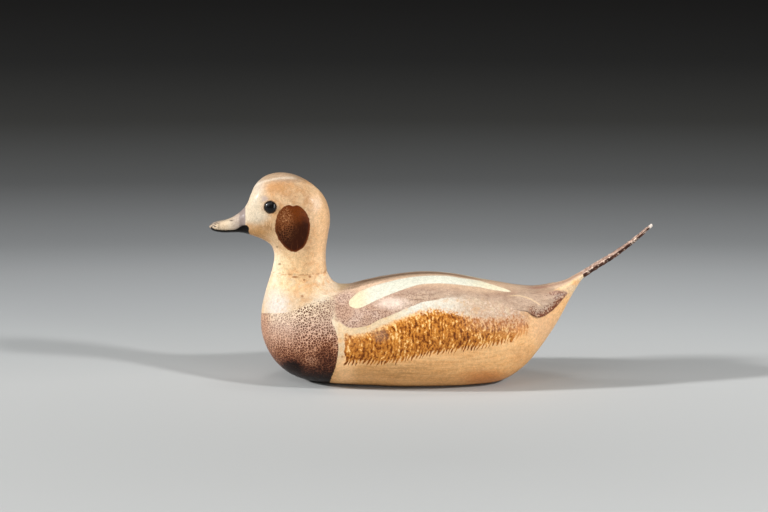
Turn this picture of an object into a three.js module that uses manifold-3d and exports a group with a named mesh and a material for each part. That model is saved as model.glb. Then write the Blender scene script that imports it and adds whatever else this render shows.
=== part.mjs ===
// Miniature long-tailed duck decoy: a carved and painted wooden drake with a
// glued-on head, two bead eyes and a long thin tail feather let on at the end.
// Millimetres, +Z up. The duck faces -X. The origin is on the flat underside,
// half way between the tip of the bill and the tip of the tail feather.
import * as THREE from "three";
import { mergeVertices } from "three/addons/utils/BufferGeometryUtils.js";
import Module from "manifold-3d";

const wasm = await Module();
wasm.setup();

// Driving dimensions.
const OVERALL_LENGTH = 160;
const BILL_TIP_X = -OVERALL_LENGTH / 2;
const FEATHER_TIP_X = OVERALL_LENGTH / 2;
const BODY_HALF_WIDTH = 23;
const BACK_HEIGHT = 39.4;
const CROWN_HEIGHT = 76.3;
const NECK_SEAT_HEIGHT = 40.2;
const HEAD_HALF_WIDTH = 9.1;
const BILL_HALF_WIDTH = 3.4;
const KEEL_DEPTH = -2.3; // how far the rounded belly would reach below the flat underside
const GLUE_LINE = 0.2; // between the neck seat and the head, and before the tail feather
const FAR = 200; // beyond the whole object

// How finely the carving is cut.
const RINGS_PER_STATION = 2;
const SIDES = 36;

// One station of the carving is an oval cross-section. It lies in the plane of
// its upper point, its lower point and the Y axis. "widest" is how far down
// from the upper point it is widest, as a share of its height, and "arch" and
// "keel" say how full its upper and lower halves are: 2 is an ellipse, more is
// squarer, less is sharper.
const station = (place, upper, lower, halfWidth, widest, arch, keel) => ({
  place,
  upper,
  lower,
  halfWidth,
  widest,
  arch,
  keel,
});

// From the tail over the back, round the breast, up the neck and over the
// crown to the tip of the bill, the sections fan round the back of the neck
// and then round the throat.
const W = BODY_HALF_WIDTH;
const H = HEAD_HALF_WIDTH;
const B = BILL_HALF_WIDTH;
const STATIONS = [
  station("tail end", [55.0, 39.6], [55.3, 37.9], 3.3, 0.42, 3.2, 2.4),
  station("tail coverts", [52.4, 38.2], [54.2, 36.3], 3.8, 0.4, 3.2, 2.2),
  station("tail coverts", [49.3, 36.4], [52.4, 33.2], 4.7, 0.36, 3.0, 2.0),
  station("rump", [45.8, 35.3], [50.1, 29.0], 6.2, 0.33, 2.7, 1.9),
  station("rump", [41.8, 34.3], [47.2, 23.2], 0.37 * W, 0.34, 2.4, 1.9),
  station("rump", [37.2, 33.8], [43.4, 16.9], 0.5 * W, 0.38, 2.3, 1.95),
  station("wing tips", [32.0, 34.3], [38.8, 10.5], 0.635 * W, 0.43, 2.2, 2.05),
  station("lower back", [26.4, 35.3], [33.2, 4.4], 0.755 * W, 0.48, 2.1, 2.1),
  station("lower back", [19.6, 36.5], [25.4, -0.1], 0.86 * W, 0.53, 2.1, 2.15),
  station("back", [12.3, 38.0], [15.0, -1.8], 0.935 * W, 0.56, 2.05, 2.2),
  station("back", [5.0, 39.1], [6.0, -2.2], 0.98 * W, 0.58, 2.05, 2.25),
  station("back", [-2.2, BACK_HEIGHT], [-3.0, KEEL_DEPTH], W, 0.59, 2.05, 2.25),
  station("back", [-9.4, 38.9], [-12.0, KEEL_DEPTH], W, 0.59, 2.05, 2.25),
  station("shoulders", [-16.7, 37.8], [-22.0, -1.7], 0.99 * W, 0.59, 2.05, 2.2),
  station("shoulders", [-23.7, 36.3], [-33.0, -1.2], 0.965 * W, 0.58, 2.05, 2.15),
  station("shoulders", [-28.3, 35.05], [-42.6, -0.2], 0.93 * W, 0.57, 2.05, 2.1),
  station("breast", [-31.3, 34.8], [-50.5, 2.1], 0.875 * W, 0.56, 2.05, 2.1),
  station("breast", [-33.25, 34.95], [-56.2, 6.4], 0.8 * W, 0.55, 2.05, 2.1),
  station("breast", [-34.75, 35.6], [-59.8, 11.9], 0.705 * W, 0.54, 2.05, 2.1),
  station("breast", [-35.85, 36.5], [-61.75, 18.2], 0.59 * W, 0.53, 2.05, 2.1),
  station("neck base", [-36.7, 37.7], [-61.7, 25.4], 0.475 * W, 0.52, 2.05, 2.1),
  station("neck base", [-37.3, 38.9], [-60.2, 32.4], 0.39 * W, 0.51, 2.1, 2.1),
  station("neck seat", [-37.85, 40.5], [-58.05, 39.4], 0.86 * H, 0.5, 2.1, 2.1),
  station("neck", [-38.2, 44.5], [-56.95, 44.2], 0.82 * H, 0.5, 2.1, 2.1),
  station("neck", [-38.0, 49.0], [-56.95, 47.3], 0.83 * H, 0.5, 2.1, 2.1),
  station("nape", [-37.3, 53.6], [-57.75, 49.5], 0.87 * H, 0.5, 2.1, 2.1),
  station("nape", [-36.6, 58.3], [-58.95, 50.8], 0.92 * H, 0.5, 2.1, 2.1),
  station("nape", [-37.0, 63.2], [-60.4, 51.65], 0.96 * H, 0.5, 2.1, 2.1),
  station("crown", [-39.0, 68.0], [-61.7, 52.3], 0.99 * H, 0.5, 2.1, 2.1),
  station("crown", [-43.0, 72.1], [-62.9, 52.8], H, 0.5, 2.1, 2.1),
  station("crown", [-48.3, 75.1], [-64.0, 53.2], 0.985 * H, 0.5, 2.15, 2.1),
  station("crown", [-54.2, CROWN_HEIGHT], [-65.0, 53.55], 0.93 * H, 0.5, 2.15, 2.1),
  station("forehead", [-59.7, 75.1], [-66.0, 53.85], 0.82 * H, 0.5, 2.15, 2.1),
  station("forehead", [-63.3, 72.0], [-66.9, 54.05], 0.68 * H, 0.51, 2.15, 2.1),
  station("forehead", [-65.1, 68.4], [-67.8, 54.25], 0.55 * H, 0.53, 2.15, 2.15),
  station("bill root", [-66.4, 65.1], [-68.9, 54.4], 0.465 * H, 0.55, 2.15, 2.2),
  station("bill root", [-68.3, 62.6], [-70.5, 54.5], 1.13 * B, 0.56, 2.2, 2.3),
  station("bill", [-71.1, 60.4], [-72.7, 54.5], 1.03 * B, 0.56, 2.3, 2.4),
  station("bill", [-74.1, 59.0], [-75.0, 54.5], B, 0.56, 2.4, 2.5),
  station("bill", [-77.0, 58.45], [-77.4, 54.8], 0.94 * B, 0.56, 2.4, 2.5),
  station("bill nail", [-79.0, 57.8], [-79.1, 55.3], 0.68 * B, 0.55, 2.4, 2.4),
  station("bill tip", [BILL_TIP_X, 56.95], [BILL_TIP_X, 56.05], 0.3 * B, 0.5, 2.2, 2.2),
];

// The wings are in low relief on the body. They rise from nothing over the
// flanks to their full thickness at the tips. Their outline is drawn as it is
// seen from the side and a little above: X, and the height in that view.
const OUTLINE_TILT = THREE.MathUtils.degToRad(12);
const WING_RISE_START_X = 26;
const WING_RISE_END_X = 48;
const WING_THICKNESS = 1.7;
const WING_SUNK = 0.2; // how far under the back it starts, so that it meets the back at an angle
const WING_TIP = [50.2, 31.6];
const WING_LOWER_EDGE = [[20, 26], [30, 25], [35.2, 23.9], [38.8, 22.2], [41.8, 23.1], [45.4, 26.4], WING_TIP];
const WING_UPPER_EDGE = [WING_TIP, [45.9, 32.5], [41.2, 32.7], [36, 33.1], [20, 35.2]];

// Bead eyes: a low glass dome on a short root that sits in a socket.
const EYE_CENTRE = new THREE.Vector3(-57.7, 8.4, 65.3); // of the rim of the dome
const EYE_TURN = new THREE.Vector3(-0.2, 0.96, 0.12); // the way the dome looks out
const EYE_RADIUS = 2.1;
const EYE_DOME_HEIGHT = 1.1;
const EYE_ROOT_RADIUS = 1.5;
const EYE_ROOT_DEPTH = 1.9;
const EYE_GAP = 0.12;

// Tail feather: a thin flat sliver that goes on in the line of the tail.
// Its sections are [x, z, width, thickness].
const FEATHER_SECTIONS = [
  [55.3 + GLUE_LINE, 39.0, 5.6, 1.7],
  [59.2, 41.5, 5.4, 1.6],
  [64.0, 44.5, 5.0, 1.5],
  [69.0, 48.0, 4.4, 1.4],
  [73.9, 51.8, 3.6, 1.3],
  [77.4, 54.9, 2.9, 1.0],
  [FEATHER_TIP_X, 57.2, 2.2, 0.7],
];
const FEATHER_RINGS = 18;
const FEATHER_SIDES = 12;

// Interpolates a list of stations with smooth curves through all of them.
function smoothStations(stations) {
  const curve = (pick) => new THREE.SplineCurve(stations.map((s) => new THREE.Vector2(...pick(s))));
  const upper = curve((s) => s.upper);
  const lower = curve((s) => s.lower);
  const girth = curve((s) => [s.halfWidth, s.widest]);
  const form = curve((s) => [s.arch, s.keel]);
  return (t) => ({
    upper: upper.getPoint(t),
    lower: lower.getPoint(t),
    halfWidth: girth.getPoint(t).x,
    widest: girth.getPoint(t).y,
    arch: form.getPoint(t).x,
    keel: form.getPoint(t).y,
  });
}

// The points of one cross-section, from the upper point round by +Y, set out
// to the sides by "proud" millimetres and sunk by "sunk".
function ring(section, sides, proud = 0, sunk = 0) {
  const { upper, lower } = section;
  const down = new THREE.Vector2().subVectors(lower, upper);
  const height = down.length();
  down.divideScalar(height);
  const points = [];
  for (let i = 0; i < sides; i++) {
    const angle = (2 * Math.PI * i) / sides;
    const aboveWidest = Math.cos(angle) >= 0;
    const power = 2 / (aboveWidest ? section.arch : section.keel);
    const reach = (aboveWidest ? section.widest : 1 - section.widest) * height - sunk;
    const along = -Math.sign(Math.cos(angle)) * Math.abs(Math.cos(angle)) ** power * reach;
    const across = Math.sign(Math.sin(angle)) * Math.abs(Math.sin(angle)) ** power;
    const fromUpper = section.widest * height + along;
    points.push(
      new THREE.Vector3(
        upper.x + down.x * fromUpper,
        across * (section.halfWidth + proud),
        upper.y + down.y * fromUpper,
      ),
    );
  }
  return points;
}

// A closed solid over a row of rings, with a flat fan at each end.
function skin(rings) {
  const sides = rings[0].length;
  const positions = [];
  const middle = (points) =>
    points.reduce((sum, p) => sum.add(p), new THREE.Vector3()).divideScalar(points.length);
  const face = (a, b, c) => positions.push(...a, ...b, ...c);
  for (let r = 0; r + 1 < rings.length; r++)
    for (let i = 0; i < sides; i++) {
      const next = (i + 1) % sides;
      const [a, b] = [rings[r][i], rings[r][next]];
      const [c, d] = [rings[r + 1][i], rings[r + 1][next]];
      face(a, b, c);
      face(b, d, c);
    }
  const first = rings[0];
  const last = rings[rings.length - 1];
  for (let i = 0; i < sides; i++) {
    const next = (i + 1) % sides;
    face(middle(first), first[next], first[i]);
    face(middle(last), last[i], last[next]);
  }
  return new THREE.BufferGeometry().setAttribute(
    "position",
    new THREE.Float32BufferAttribute(positions, 3),
  );
}

// The whole bird as one carving, set out to the sides by proud(x) and sunk.
function carving(proud = () => 0, sunk = 0) {
  const at = smoothStations(STATIONS);
  const rings = (STATIONS.length - 1) * RINGS_PER_STATION;
  const made = [];
  for (let r = 0; r <= rings; r++) {
    const section = at(r / rings);
    made.push(ring(section, SIDES, proud((section.upper.x + section.lower.x) / 2), sunk));
  }
  return solid(skin(made));
}

// three.js geometry to a solid and back.
function solid(geometry) {
  const bare = new THREE.BufferGeometry()
    .setAttribute("position", geometry.getAttribute("position"))
    .setIndex(geometry.index);
  const merged = mergeVertices(bare, 1e-4);
  const index = merged.index.array;
  const triVerts = [];
  for (let i = 0; i < index.length; i += 3) {
    const [a, b, c] = [index[i], index[i + 1], index[i + 2]];
    if (a !== b && b !== c && c !== a) triVerts.push(a, b, c);
  }
  return new wasm.Manifold(
    new wasm.Mesh({
      numProp: 3,
      vertProperties: new Float32Array(merged.attributes.position.array),
      triVerts: new Uint32Array(triVerts),
    }),
  );
}

function geometryOf(made) {
  const mesh = made.getMesh();
  return new THREE.BufferGeometry()
    .setAttribute("position", new THREE.BufferAttribute(new Float32Array(mesh.vertProperties), 3))
    .setIndex(new THREE.BufferAttribute(new Uint32Array(mesh.triVerts), 1));
}

const box = (low, high) =>
  solid(
    new THREE.BoxGeometry(high[0] - low[0], high[1] - low[1], high[2] - low[2]).translate(
      (low[0] + high[0]) / 2,
      (low[1] + high[1]) / 2,
      (low[2] + high[2]) / 2,
    ),
  );

const smoothLine = (points, count) =>
  new THREE.SplineCurve(points.map((p) => new THREE.Vector2(...p))).getPoints(count);

// The raised wing of the -Y side.
function wing() {
  const rise = (x) =>
    (WING_THICKNESS + WING_SUNK) *
      THREE.MathUtils.smoothstep(x, WING_RISE_START_X, WING_RISE_END_X) -
    WING_SUNK;
  const outline = [...smoothLine(WING_LOWER_EDGE, 24), ...smoothLine(WING_UPPER_EDGE, 12).slice(1)];
  const prism = new THREE.ExtrudeGeometry(new THREE.Shape(outline), {
    depth: FAR,
    bevelEnabled: false,
  });
  prism.rotateX(Math.PI / 2 - OUTLINE_TILT);
  return carving(rise, WING_SUNK)
    .intersect(solid(prism))
    .intersect(box([0, -FAR, 0], [FAR, -1, FAR]));
}

function body() {
  const near = wing();
  return carving()
    .subtract(box([-FAR, -FAR, NECK_SEAT_HEIGHT], [FAR, FAR, FAR]))
    .add(near)
    .add(near.mirror([0, 1, 0]))
    .subtract(box([-FAR, -FAR, -FAR], [FAR, FAR, 0]));
}

// One bead, turned about its axis, grown by "gap" all round for its socket.
function bead(gap) {
  const profile = [
    new THREE.Vector2(0, -EYE_ROOT_DEPTH - gap),
    new THREE.Vector2(EYE_ROOT_RADIUS + gap, -EYE_ROOT_DEPTH - gap),
    new THREE.Vector2(EYE_RADIUS + gap, -EYE_ROOT_DEPTH / 3),
  ];
  for (let i = 0; i < 7; i++) {
    const angle = ((Math.PI / 2) * i) / 7;
    const [out, up] = [EYE_RADIUS + gap, EYE_DOME_HEIGHT + gap];
    profile.push(new THREE.Vector2(out * Math.cos(angle), up * Math.sin(angle)));
  }
  profile.push(new THREE.Vector2(0, EYE_DOME_HEIGHT + gap));
  return new THREE.LatheGeometry(profile, 20);
}

function beadAt(side, gap = 0) {
  const turn = new THREE.Quaternion().setFromUnitVectors(
    new THREE.Vector3(0, 1, 0),
    EYE_TURN.clone().normalize(),
  );
  const placed = bead(gap)
    .applyQuaternion(turn)
    .translate(...EYE_CENTRE);
  return side > 0 ? solid(placed) : solid(placed).mirror([0, 1, 0]);
}

function head() {
  return carving()
    .intersect(box([-FAR, -FAR, NECK_SEAT_HEIGHT + GLUE_LINE], [0, FAR, FAR]))
    .subtract(beadAt(1, EYE_GAP))
    .subtract(beadAt(-1, EYE_GAP));
}

function tailFeather() {
  const line = new THREE.SplineCurve(FEATHER_SECTIONS.map(([x, z]) => new THREE.Vector2(x, z)));
  const size = new THREE.SplineCurve(FEATHER_SECTIONS.map(([, , w, t]) => new THREE.Vector2(w, t)));
  const rings = [];
  for (let r = 0; r <= FEATHER_RINGS; r++) {
    const share = r / FEATHER_RINGS;
    const centre = line.getPoint(share);
    const ahead = line.getTangent(share);
    const { x: width, y: thickness } = size.getPoint(share);
    const up = new THREE.Vector2(-ahead.y, ahead.x);
    if (r === 0 || r === FEATHER_RINGS) up.set(0, 1); // square ends
    const points = [];
    for (let i = 0; i < FEATHER_SIDES; i++) {
      const angle = (2 * Math.PI * i) / FEATHER_SIDES;
      const rounded = (value) => (Math.sign(value) * Math.abs(value) ** 0.6) / 2;
      const lift = rounded(Math.cos(angle)) * thickness;
      const across = rounded(Math.sin(angle)) * width;
      points.push(new THREE.Vector3(centre.x + up.x * lift, -across, centre.y + up.y * lift));
    }
    rings.push(points);
  }
  return skin(rings);
}

function finish(colour, roughness) {
  return new THREE.MeshStandardMaterial({ color: colour, roughness, metalness: 0 });
}

function piece(name, geometry, material) {
  const mesh = new THREE.Mesh(geometry, material);
  mesh.name = name;
  return mesh;
}

const group = new THREE.Group();
group.add(piece("body", geometryOf(body()), finish(0xb98a63, 0.45)));
group.add(piece("head", geometryOf(head()), finish(0xd9b184, 0.42)));
for (const [name, side] of [
  ["eye_left", -1],
  ["eye_right", 1],
])
  group.add(piece(name, geometryOf(beadAt(side)), finish(0x15110f, 0.12)));
group.add(piece("tail_feather", tailFeather(), finish(0x6b4536, 0.6)));

export default group;
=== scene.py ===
"""A miniature long-tailed duck decoy: a carved drake in worn, varnished paint.

The duck faces -X, the origin is on its flat underside, and the carving is laid out in millimetres.
"""

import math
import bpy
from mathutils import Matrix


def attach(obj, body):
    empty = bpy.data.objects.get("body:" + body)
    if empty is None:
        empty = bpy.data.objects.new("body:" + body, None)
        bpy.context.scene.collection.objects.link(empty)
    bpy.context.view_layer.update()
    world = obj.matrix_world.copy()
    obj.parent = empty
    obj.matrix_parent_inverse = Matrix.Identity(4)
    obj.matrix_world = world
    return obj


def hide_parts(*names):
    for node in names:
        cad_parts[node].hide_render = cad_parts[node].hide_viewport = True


bl_info = {
    "name": "Miniature Duck Decoy",
    "version": (1, 0, 0),
    "blender": (4, 5, 0),
    "location": "3D View > Sidebar > Duck Decoy",
    "description": "Carves and paints a miniature long-tailed duck decoy on a studio floor",
    "category": "Add Mesh",
}

import bmesh
import bpy
import numpy as np
from bpy.props import FloatProperty, FloatVectorProperty, IntProperty, PointerProperty
from mathutils import Matrix, Vector

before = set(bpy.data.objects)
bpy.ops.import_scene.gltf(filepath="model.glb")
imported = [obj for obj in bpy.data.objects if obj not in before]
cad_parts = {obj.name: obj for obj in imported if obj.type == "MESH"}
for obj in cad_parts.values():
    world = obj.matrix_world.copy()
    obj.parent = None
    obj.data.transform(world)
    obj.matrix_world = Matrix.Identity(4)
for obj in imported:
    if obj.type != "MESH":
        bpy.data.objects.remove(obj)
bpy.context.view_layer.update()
MM = 0.001

# The stations of the carving, from the end of the tail over the back, round the breast, up the
# neck and over the crown to the tip of the bill. Each is an oval section: its upper point (X, Z),
# its lower point (X, Z), half its width, how far down it is widest, and how full its upper and
# lower halves are, where 2 is an ellipse and more is squarer.
W = 23.0
H = 9.1
B = 3.4
STATIONS = np.array([
    (55.0, 39.6, 55.3, 37.9, 3.3, 0.42, 3.2, 2.4),
    (52.4, 38.2, 54.2, 36.3, 3.8, 0.4, 3.2, 2.2),
    (49.3, 36.4, 52.4, 33.2, 4.7, 0.36, 3.0, 2.0),
    (45.8, 35.3, 50.1, 29.0, 6.2, 0.33, 2.7, 1.9),
    (41.8, 34.3, 47.2, 23.2, 0.37 * W, 0.34, 2.4, 1.9),
    (37.2, 33.8, 43.4, 16.9, 0.5 * W, 0.38, 2.3, 1.95),
    (32.0, 34.3, 38.8, 10.5, 0.635 * W, 0.43, 2.2, 2.05),
    (26.4, 35.3, 33.2, 4.4, 0.755 * W, 0.48, 2.1, 2.1),
    (19.6, 36.5, 25.4, -0.1, 0.86 * W, 0.53, 2.1, 2.15),
    (12.3, 38.0, 15.0, -1.8, 0.935 * W, 0.56, 2.05, 2.2),
    (5.0, 39.1, 6.0, -2.2, 0.98 * W, 0.58, 2.05, 2.25),
    (-2.2, 39.4, -3.0, -2.3, W, 0.59, 2.05, 2.25),
    (-9.4, 38.9, -12.0, -2.3, W, 0.59, 2.05, 2.25),
    (-16.7, 37.8, -22.0, -1.7, 0.99 * W, 0.59, 2.05, 2.2),
    (-23.7, 36.3, -33.0, -1.2, 0.965 * W, 0.58, 2.05, 2.15),
    (-28.3, 35.05, -42.6, -0.2, 0.93 * W, 0.57, 2.05, 2.1),
    (-31.3, 34.8, -50.5, 2.1, 0.875 * W, 0.56, 2.05, 2.1),
    (-33.25, 34.95, -56.2, 6.4, 0.8 * W, 0.55, 2.05, 2.1),
    (-34.75, 35.6, -59.8, 11.9, 0.705 * W, 0.54, 2.05, 2.1),
    (-35.85, 36.5, -61.75, 18.2, 0.59 * W, 0.53, 2.05, 2.1),
    (-36.7, 37.7, -61.7, 25.4, 0.475 * W, 0.52, 2.05, 2.1),
    (-37.3, 38.9, -60.2, 32.4, 0.39 * W, 0.51, 2.1, 2.1),
    (-37.85, 40.5, -58.05, 39.4, 0.86 * H, 0.5, 2.1, 2.1),
    (-38.2, 44.5, -56.95, 44.2, 0.82 * H, 0.5, 2.1, 2.1),
    (-38.0, 49.0, -56.95, 47.3, 0.83 * H, 0.5, 2.1, 2.1),
    (-37.3, 53.6, -57.75, 49.5, 0.87 * H, 0.5, 2.1, 2.1),
    (-36.6, 58.3, -58.95, 50.8, 0.92 * H, 0.5, 2.1, 2.1),
    (-37.0, 63.2, -60.4, 51.65, 0.96 * H, 0.5, 2.1, 2.1),
    (-39.0, 68.0, -61.7, 52.3, 0.99 * H, 0.5, 2.1, 2.1),
    (-43.0, 72.1, -62.9, 52.8, H, 0.5, 2.1, 2.1),
    (-48.3, 75.1, -64.0, 53.2, 0.985 * H, 0.5, 2.15, 2.1),
    (-54.2, 76.3, -65.0, 53.55, 0.93 * H, 0.5, 2.15, 2.1),
    (-59.7, 75.1, -66.0, 53.85, 0.82 * H, 0.5, 2.15, 2.1),
    (-63.3, 72.0, -66.9, 54.05, 0.68 * H, 0.51, 2.15, 2.1),
    (-65.1, 68.4, -67.8, 54.25, 0.55 * H, 0.53, 2.15, 2.15),
    (-66.4, 65.1, -68.9, 54.4, 0.465 * H, 0.55, 2.15, 2.2),
    (-68.3, 62.6, -70.5, 54.5, 1.13 * B, 0.56, 2.2, 2.3),
    (-71.1, 60.4, -72.7, 54.5, 1.03 * B, 0.56, 2.3, 2.4),
    (-74.1, 59.0, -75.0, 54.5, B, 0.56, 2.4, 2.5),
    (-77.0, 58.45, -77.4, 54.8, 0.94 * B, 0.56, 2.4, 2.5),
    (-79.0, 57.8, -79.1, 55.3, 0.68 * B, 0.55, 2.4, 2.4),
    (-80.0, 56.95, -80.0, 56.05, 0.3 * B, 0.5, 2.2, 2.2),
])
NECK_STATION = 22
NECK_SEAT = 40.3  # height of the seam where the head sits on the body
NECK_GAP = 0.02  # how far each side of the seam is cut back from it
TRIAL_RINGS = 1600  # to find out how far apart the rings come
TRIAL_SIDES = 24
BODY_RINGS = 352
BODY_SIDES = 264
HEAD_RINGS = 300
HEAD_SIDES = 232
SOLE_ROUNDING = 0.25  # how softly the sides run into the flat underside
SOLE_TOP = 3.0  # below this height the knife left no hollows
BILL_ROOT = -66.0  # ahead of this place it left none either
WING_RISE = (26.0, 48.0)  # where the wings begin to stand out from the rump, and stand out fully

# The painter's side plan. A point of the carving is on it where it shows from the side and a
# little above: along the duck, and up. Both sides are painted from the same plan, and the outlines
# of the paints and of the wing are on it.
PLAN_MIDDLE = np.array([-17.05, 0.0, 45.62])
PLAN_LIFT = math.radians(12)
PLAN_DISTANCE = 900.0

BREAST_BAND = [
    (-69.3, 23.9), (-61.3, 23.9), (-56.6, 23.9), (-53.0, 24.1), (-50.1, 24.7), (-48.3, 25.8),
    (-45.7, 26.8), (-42.8, 27.7), (-39.5, 28.4), (-36.6, 29.2), (-34.5, 28.7), (-34.5, 25.8),
    (-35.4, 22.9), (-35.9, 20.7), (-35.0, 18.5), (-34.2, 16.3), (-33.7, 14.1), (-33.6, 11.6),
    (-33.7, 9.4), (-34.1, 6.9), (-34.6, 4.4), (-35.4, 2.2), (-36.3, 0.0), (-37.0, -2.5),
    (-37.7, -7.6), (-69.3, -7.6),
]
MANTLE = [
    (-35.2, 30.1), (-31.6, 32.7), (-28.7, 34.5), (-22.1, 38.8), (-11.2, 42.4), (-0.4, 43.9),
    (14.1, 42.4), (28.7, 38.8), (39.5, 36.6), (46.8, 39.5), (55.5, 42.4), (54.8, 38.0),
    (51.9, 36.0), (48.6, 34.2), (46.0, 33.0), (44.5, 32.2), (46.8, 32.2), (49.6, 31.5),
    (47.9, 29.0), (46.1, 26.8), (44.3, 25.0), (42.4, 23.6), (40.6, 22.6), (38.6, 22.3),
    (36.8, 23.0), (34.8, 24.4), (32.3, 24.7), (29.8, 25.4), (27.6, 26.5), (25.0, 27.8),
    (21.4, 28.5), (17.8, 29.0), (14.1, 29.4), (8.7, 29.6), (5.1, 29.4), (2.2, 28.8), (-0.4, 28.3),
    (-3.3, 27.8), (-5.8, 26.8), (-8.3, 25.8), (-11.2, 24.5), (-14.1, 23.4), (-16.7, 22.3),
    (-19.2, 21.2), (-21.4, 20.1), (-22.9, 19.4), (-24.7, 18.9), (-26.8, 18.6), (-29.4, 18.5),
    (-31.2, 19.2), (-33.0, 20.4), (-34.5, 21.6), (-35.2, 23.9), (-35.2, 27.2),
]
SHOULDER_STRIPE = [
    (-29.8, 27.4), (-29.4, 28.7), (-28.3, 29.9), (-26.5, 31.4), (-24.3, 32.5), (-22.1, 33.3),
    (-18.5, 34.5), (-14.9, 35.4), (-11.2, 36.3), (-7.6, 36.9), (-4.0, 37.3), (-0.4, 37.5),
    (3.3, 37.5), (6.9, 37.3), (10.5, 36.7), (14.1, 36.2), (17.8, 35.6), (21.4, 34.5),
    (24.3, 33.6), (26.8, 32.8), (29.0, 31.7), (26.8, 31.7), (24.3, 32.1), (21.4, 32.5),
    (17.8, 33.3), (14.1, 33.7), (10.5, 34.2), (6.9, 34.5), (3.3, 34.7), (-0.4, 34.6),
    (-4.0, 34.3), (-7.6, 33.3), (-11.2, 32.1), (-14.9, 30.7), (-18.5, 29.2), (-21.4, 27.8),
    (-23.6, 26.7), (-25.8, 25.8), (-27.6, 25.7), (-29.2, 26.3),
]
FLANK_PANEL = [
    (-31.2, 16.0), (-28.7, 15.8), (-25.8, 16.1), (-22.9, 16.9), (-19.2, 18.5), (-16.7, 19.6),
    (-14.1, 20.7), (-11.2, 21.8), (-8.3, 22.9), (-5.8, 23.9), (-3.3, 24.8), (-0.4, 25.3),
    (3.3, 25.4), (6.9, 24.9), (11.2, 23.8), (16.0, 22.6), (21.4, 22.1), (26.8, 22.7),
    (30.5, 23.0), (33.7, 22.7), (35.4, 21.4), (35.6, 19.2), (34.8, 17.4), (32.7, 16.1),
    (30.8, 15.1), (27.6, 14.0), (24.7, 13.2), (21.4, 12.5), (17.8, 11.8), (14.1, 11.2),
    (10.5, 10.7), (6.9, 10.2), (3.3, 9.8), (-0.4, 9.3), (-3.3, 8.5), (-6.9, 7.6), (-10.5, 6.9),
    (-14.1, 6.3), (-17.8, 6.0), (-22.1, 5.8), (-26.5, 6.2), (-29.4, 5.8), (-31.4, 5.8),
    (-31.7, 8.0), (-31.3, 10.9), (-31.1, 13.8),
]
CHEEK_PATCH = [
    (-56.2, 58.0), (-55.5, 60.2), (-54.4, 61.7), (-53.2, 62.6), (-52.1, 63.1), (-51.1, 63.1),
    (-50.3, 62.8), (-49.7, 62.8), (-48.9, 63.1), (-47.6, 62.7), (-46.2, 61.6), (-45.0, 60.0),
    (-44.2, 58.2), (-43.9, 56.2), (-44.0, 53.7), (-44.4, 51.5), (-45.2, 49.3), (-46.3, 47.7),
    (-47.5, 46.8), (-49.0, 46.1), (-50.2, 46.1), (-51.9, 46.8), (-53.5, 48.3), (-54.8, 49.9),
    (-55.7, 51.5), (-56.4, 53.3), (-56.6, 55.5),
]
LOWER_MANDIBLE = [
    (-79.9, 54.8), (-79.2, 54.9), (-78.4, 54.5), (-76.0, 54.1), (-72.6, 54.1), (-70.4, 54.5),
    (-69.2, 55.4), (-68.0, 55.9), (-66.9, 55.8), (-66.1, 54.9), (-66.1, 53.4), (-66.2, 50.0),
    (-79.4, 50.0),
]
WING = [
    (18.0, 28.6), (25.0, 27.8), (27.6, 26.5), (29.8, 25.4), (32.3, 24.7), (34.8, 24.4),
    (36.8, 23.0), (38.6, 22.3), (40.6, 22.6), (42.4, 23.6), (44.3, 25.0), (46.1, 26.8),
    (47.9, 29.0), (49.8, 31.6), (46.8, 32.4), (43.2, 32.8), (39.5, 32.8), (36.0, 33.1),
    (30.0, 34.0), (20.0, 35.4),
]

# The outlines that the paint of the body and of the head reads, by the names of their readings.
BODY_OUTLINES = {
    "breast_in": BREAST_BAND,
    "mantle_in": MANTLE,
    "stripe_in": SHOULDER_STRIPE,
    "flank_in": FLANK_PANEL,
}
HEAD_OUTLINES = {"cheek_in": CHEEK_PATCH, "mandible_in": LOWER_MANDIBLE}

# The groove between the mandibles: where along the duck it begins, half its width, and its depth.
GROOVE_START = -67.0
GROOVE_REACH = 0.22
GROOVE_DEPTH = 0.14

# Eyes: where the rim of the dome is, and the way the dome looks out.
EYE_CENTRE = np.array([-57.7, 8.4, 65.3])
EYE_TURN = np.array([-0.2, 0.96, 0.12])
EYE_SIDES = 48
EYE_STEPS = 14  # rings from the rim of the dome to its top
SOCKET_ROOM = 0.07  # between the bead and the rim of its socket
SOCKET_DEPTH = 0.5
RIM_REACH = 0.26  # points this near the rim of a socket are drawn onto it

# Tail feather: its centre line (X, Z), and its full width. It is as thick as a share of that.
FEATHER_LINE = np.array([
    (55.0, 38.7, 5.6),
    (59.2, 41.5, 5.4),
    (64.0, 44.5, 5.0),
    (69.0, 48.0, 4.4),
    (73.9, 51.8, 3.6),
    (77.4, 54.9, 2.9),
    (80.0, 57.2, 2.2),
])
FEATHER_POINTS = 61  # on the centre line, when it is made smooth

FLOOR_SIDES = 96


def tone(red, green, blue):
    """A paint colour given as 0 to 255, made linear for the shaders."""
    made = []
    for value in (red, green, blue):
        share = value / 255
        made.append(share / 12.92 if share <= 0.04045 else ((share + 0.055) / 1.055) ** 2.4)
    return (*made, 1.0)


def colour(name, what, red, green, blue):
    return FloatVectorProperty(
        name=name,
        description=what,
        subtype="COLOR",
        size=4,
        min=0.0,
        max=1.0,
        default=tone(red, green, blue),
    )


def length(name, what, millimetres):
    return FloatProperty(
        name=name,
        description=what,
        subtype="DISTANCE",
        unit="LENGTH",
        min=0.0,
        default=millimetres * MM,
    )


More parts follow.
